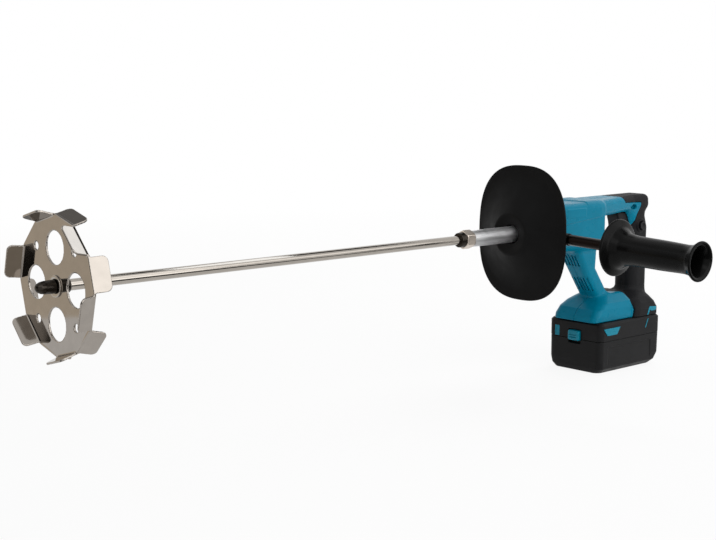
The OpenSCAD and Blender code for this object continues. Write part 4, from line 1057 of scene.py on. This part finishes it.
# %% Floor
# It turns fully white away from the tool, so that no horizon shows
fade_start, fade_end, near_share = 0.9, 2.0, 0.9
floor = plain_quad("floor", (-0.3, 0, -0.0005), (1, 0, 0), (0, 1, 0), 14, 14)
floor_material, tree, shader, place = new_material("pale floor")
shader.inputs["Base Color"].default_value = (0.9, 0.9, 0.9, 1)
shader.inputs["Roughness"].default_value = 0.9
shader.inputs["Specular IOR Level"].default_value = 0.1
span = maths(tree, "LENGTH", place.outputs["Object"], kind="VectorMath")
reach = map_range(tree, span, (fade_start, fade_end), (near_share, 1.0))
share = maths(tree, "MULTIPLY", seen_white(tree), reach)
glow = new_node(tree, "Emission", Color=white, Strength=1.0)
blend = mix_shaders(tree, share, shader.outputs[0], glow.outputs[0])
tree.links.new(blend, tree.nodes["Material Output"].inputs["Surface"])
floor.data.materials.append(floor_material)
print("the floor fades to white between", fade_start, "and", fade_end, "m")


# %% Cards
def painted_reflection_finish(name, colour):
    """Glow of even colour that needs no light on it, seen only in reflections: a painted reflection."""
    material, tree = new_material(name)[:2]
    even = new_node(tree, "Emission", Color=(*colour, 1), Strength=1.0)
    tree.links.new(even.outputs[0], tree.nodes["Material Output"].inputs["Surface"])
    return material


# Colours of the glowing cards: dark, grey, brown and tan paint reflections, and the bright ones paint highlights
dark, grey, brown, tan = (0.05,) * 3, (0.25,) * 3, (0.36, 0.32, 0.27), (0.82, 0.73, 0.61)
bright, bright_strip = (2.3, 2.4, 2.5), (1.9, 1.9, 1.9)
flat_x, flat_y, upright = (1, 0, 0), (0, 1, 0), (0, 0, 1)
# Each card paints a reflection into the steel: card_plate the plate's tan tone, card_high_tab a highlight on a
# tab, card_rod_strip a highlight line along the rod, and the dark ones dark bands and patches
cards = [
    ("card_floor_far", (-1.04, -0.04, 0.004), flat_x, flat_y, 0.18, 0.20, dark),
    ("card_floor_near", (-0.78, -0.20, 0.004), flat_x, flat_y, 0.15, 0.14, brown),
    ("card_behind_disc", (-0.60, 0.33, 0.004), flat_x, flat_y, 0.30, 0.20, grey),
    ("card_above_disc", (-0.46, 0.72, 1.10), flat_x, (0, 0.75, -0.66), 0.50, 0.35, grey),
    ("card_plate", (-1.06, 0.78, 0.08), (0.87, 0.49, 0), upright, 0.90, 0.60, tan),
    ("card_high_tab", (-0.40, 0.00, 0.40), (0.16, -0.99, 0), (-0.57, -0.09, 0.81), 0.20, 0.16, bright),
    ("card_above_rod", (1.40, 0.42, 2.40), flat_x, flat_y, 1.70, 1.55, dark),
    ("card_rod_strip", (1.25, -1.77, 1.17), flat_x, (0, 0.49, 0.87), 2.20, 1.20, bright_strip),
    ("card_below_rod", (-0.18, -0.39, 0.004), flat_x, flat_y, 1.00, 0.24, dark),
    ("card_below_tip", (-0.20, -0.95, 0.004), flat_x, flat_y, 0.45, 0.86, dark),
    ("card_left", (-1.9, 0.1, 0.5), (0.2, 0.98, 0), upright, 1.3, 0.9, dark),
]
for name, centre, right, up, width, height, colour in cards:
    card = plain_quad(name, centre, right, up, width, height)
    card.data.materials.append(painted_reflection_finish(name, colour))
    card.visible_camera = False
    card.visible_diffuse = False
    card.visible_shadow = False
print("cards:", len(cards))


# %% Lamps and camera
def lamp(name, place, aim, size, power):
    """Square soft light at place, facing aim, both in metres."""
    data = bpy.data.lights.new(name, "AREA")
    data.shape = "SQUARE"
    data.size = size
    data.energy = power
    item = add_object(name, data)
    item.location = place
    item.rotation_euler = (Vector(aim) - Vector(place)).to_track_quat("-Z", "Y").to_euler()
    return item


lamp("key", (-0.1, -2.4, 1.3), (-0.2, 0, 0.15), 2.9, 46)
lamp("top", (1.5, 0.42, 1.9), (-0.3, 0, 0.15), 1.7, 36).visible_glossy = False
lamp("fill", (-1.9, -1.2, 1.9), (-0.3, 0, 0.15), 1.2, 6)

camera_data = bpy.data.cameras.new("camera")
camera_data.sensor_width = 36.0
camera_data.lens = 67.72
camera = add_object("camera", camera_data)
camera.location = (-1.300798, -0.998676, 0.343912)
camera.rotation_euler = (np.radians(81.909), 0.0, np.radians(-41.935))
bpy.context.scene.camera = camera
bpy.context.scene.view_settings.view_transform = "Standard"
print("camera with a lens of", camera_data.lens, "mm")

# %% Update the scene
bpy.context.view_layer.update()
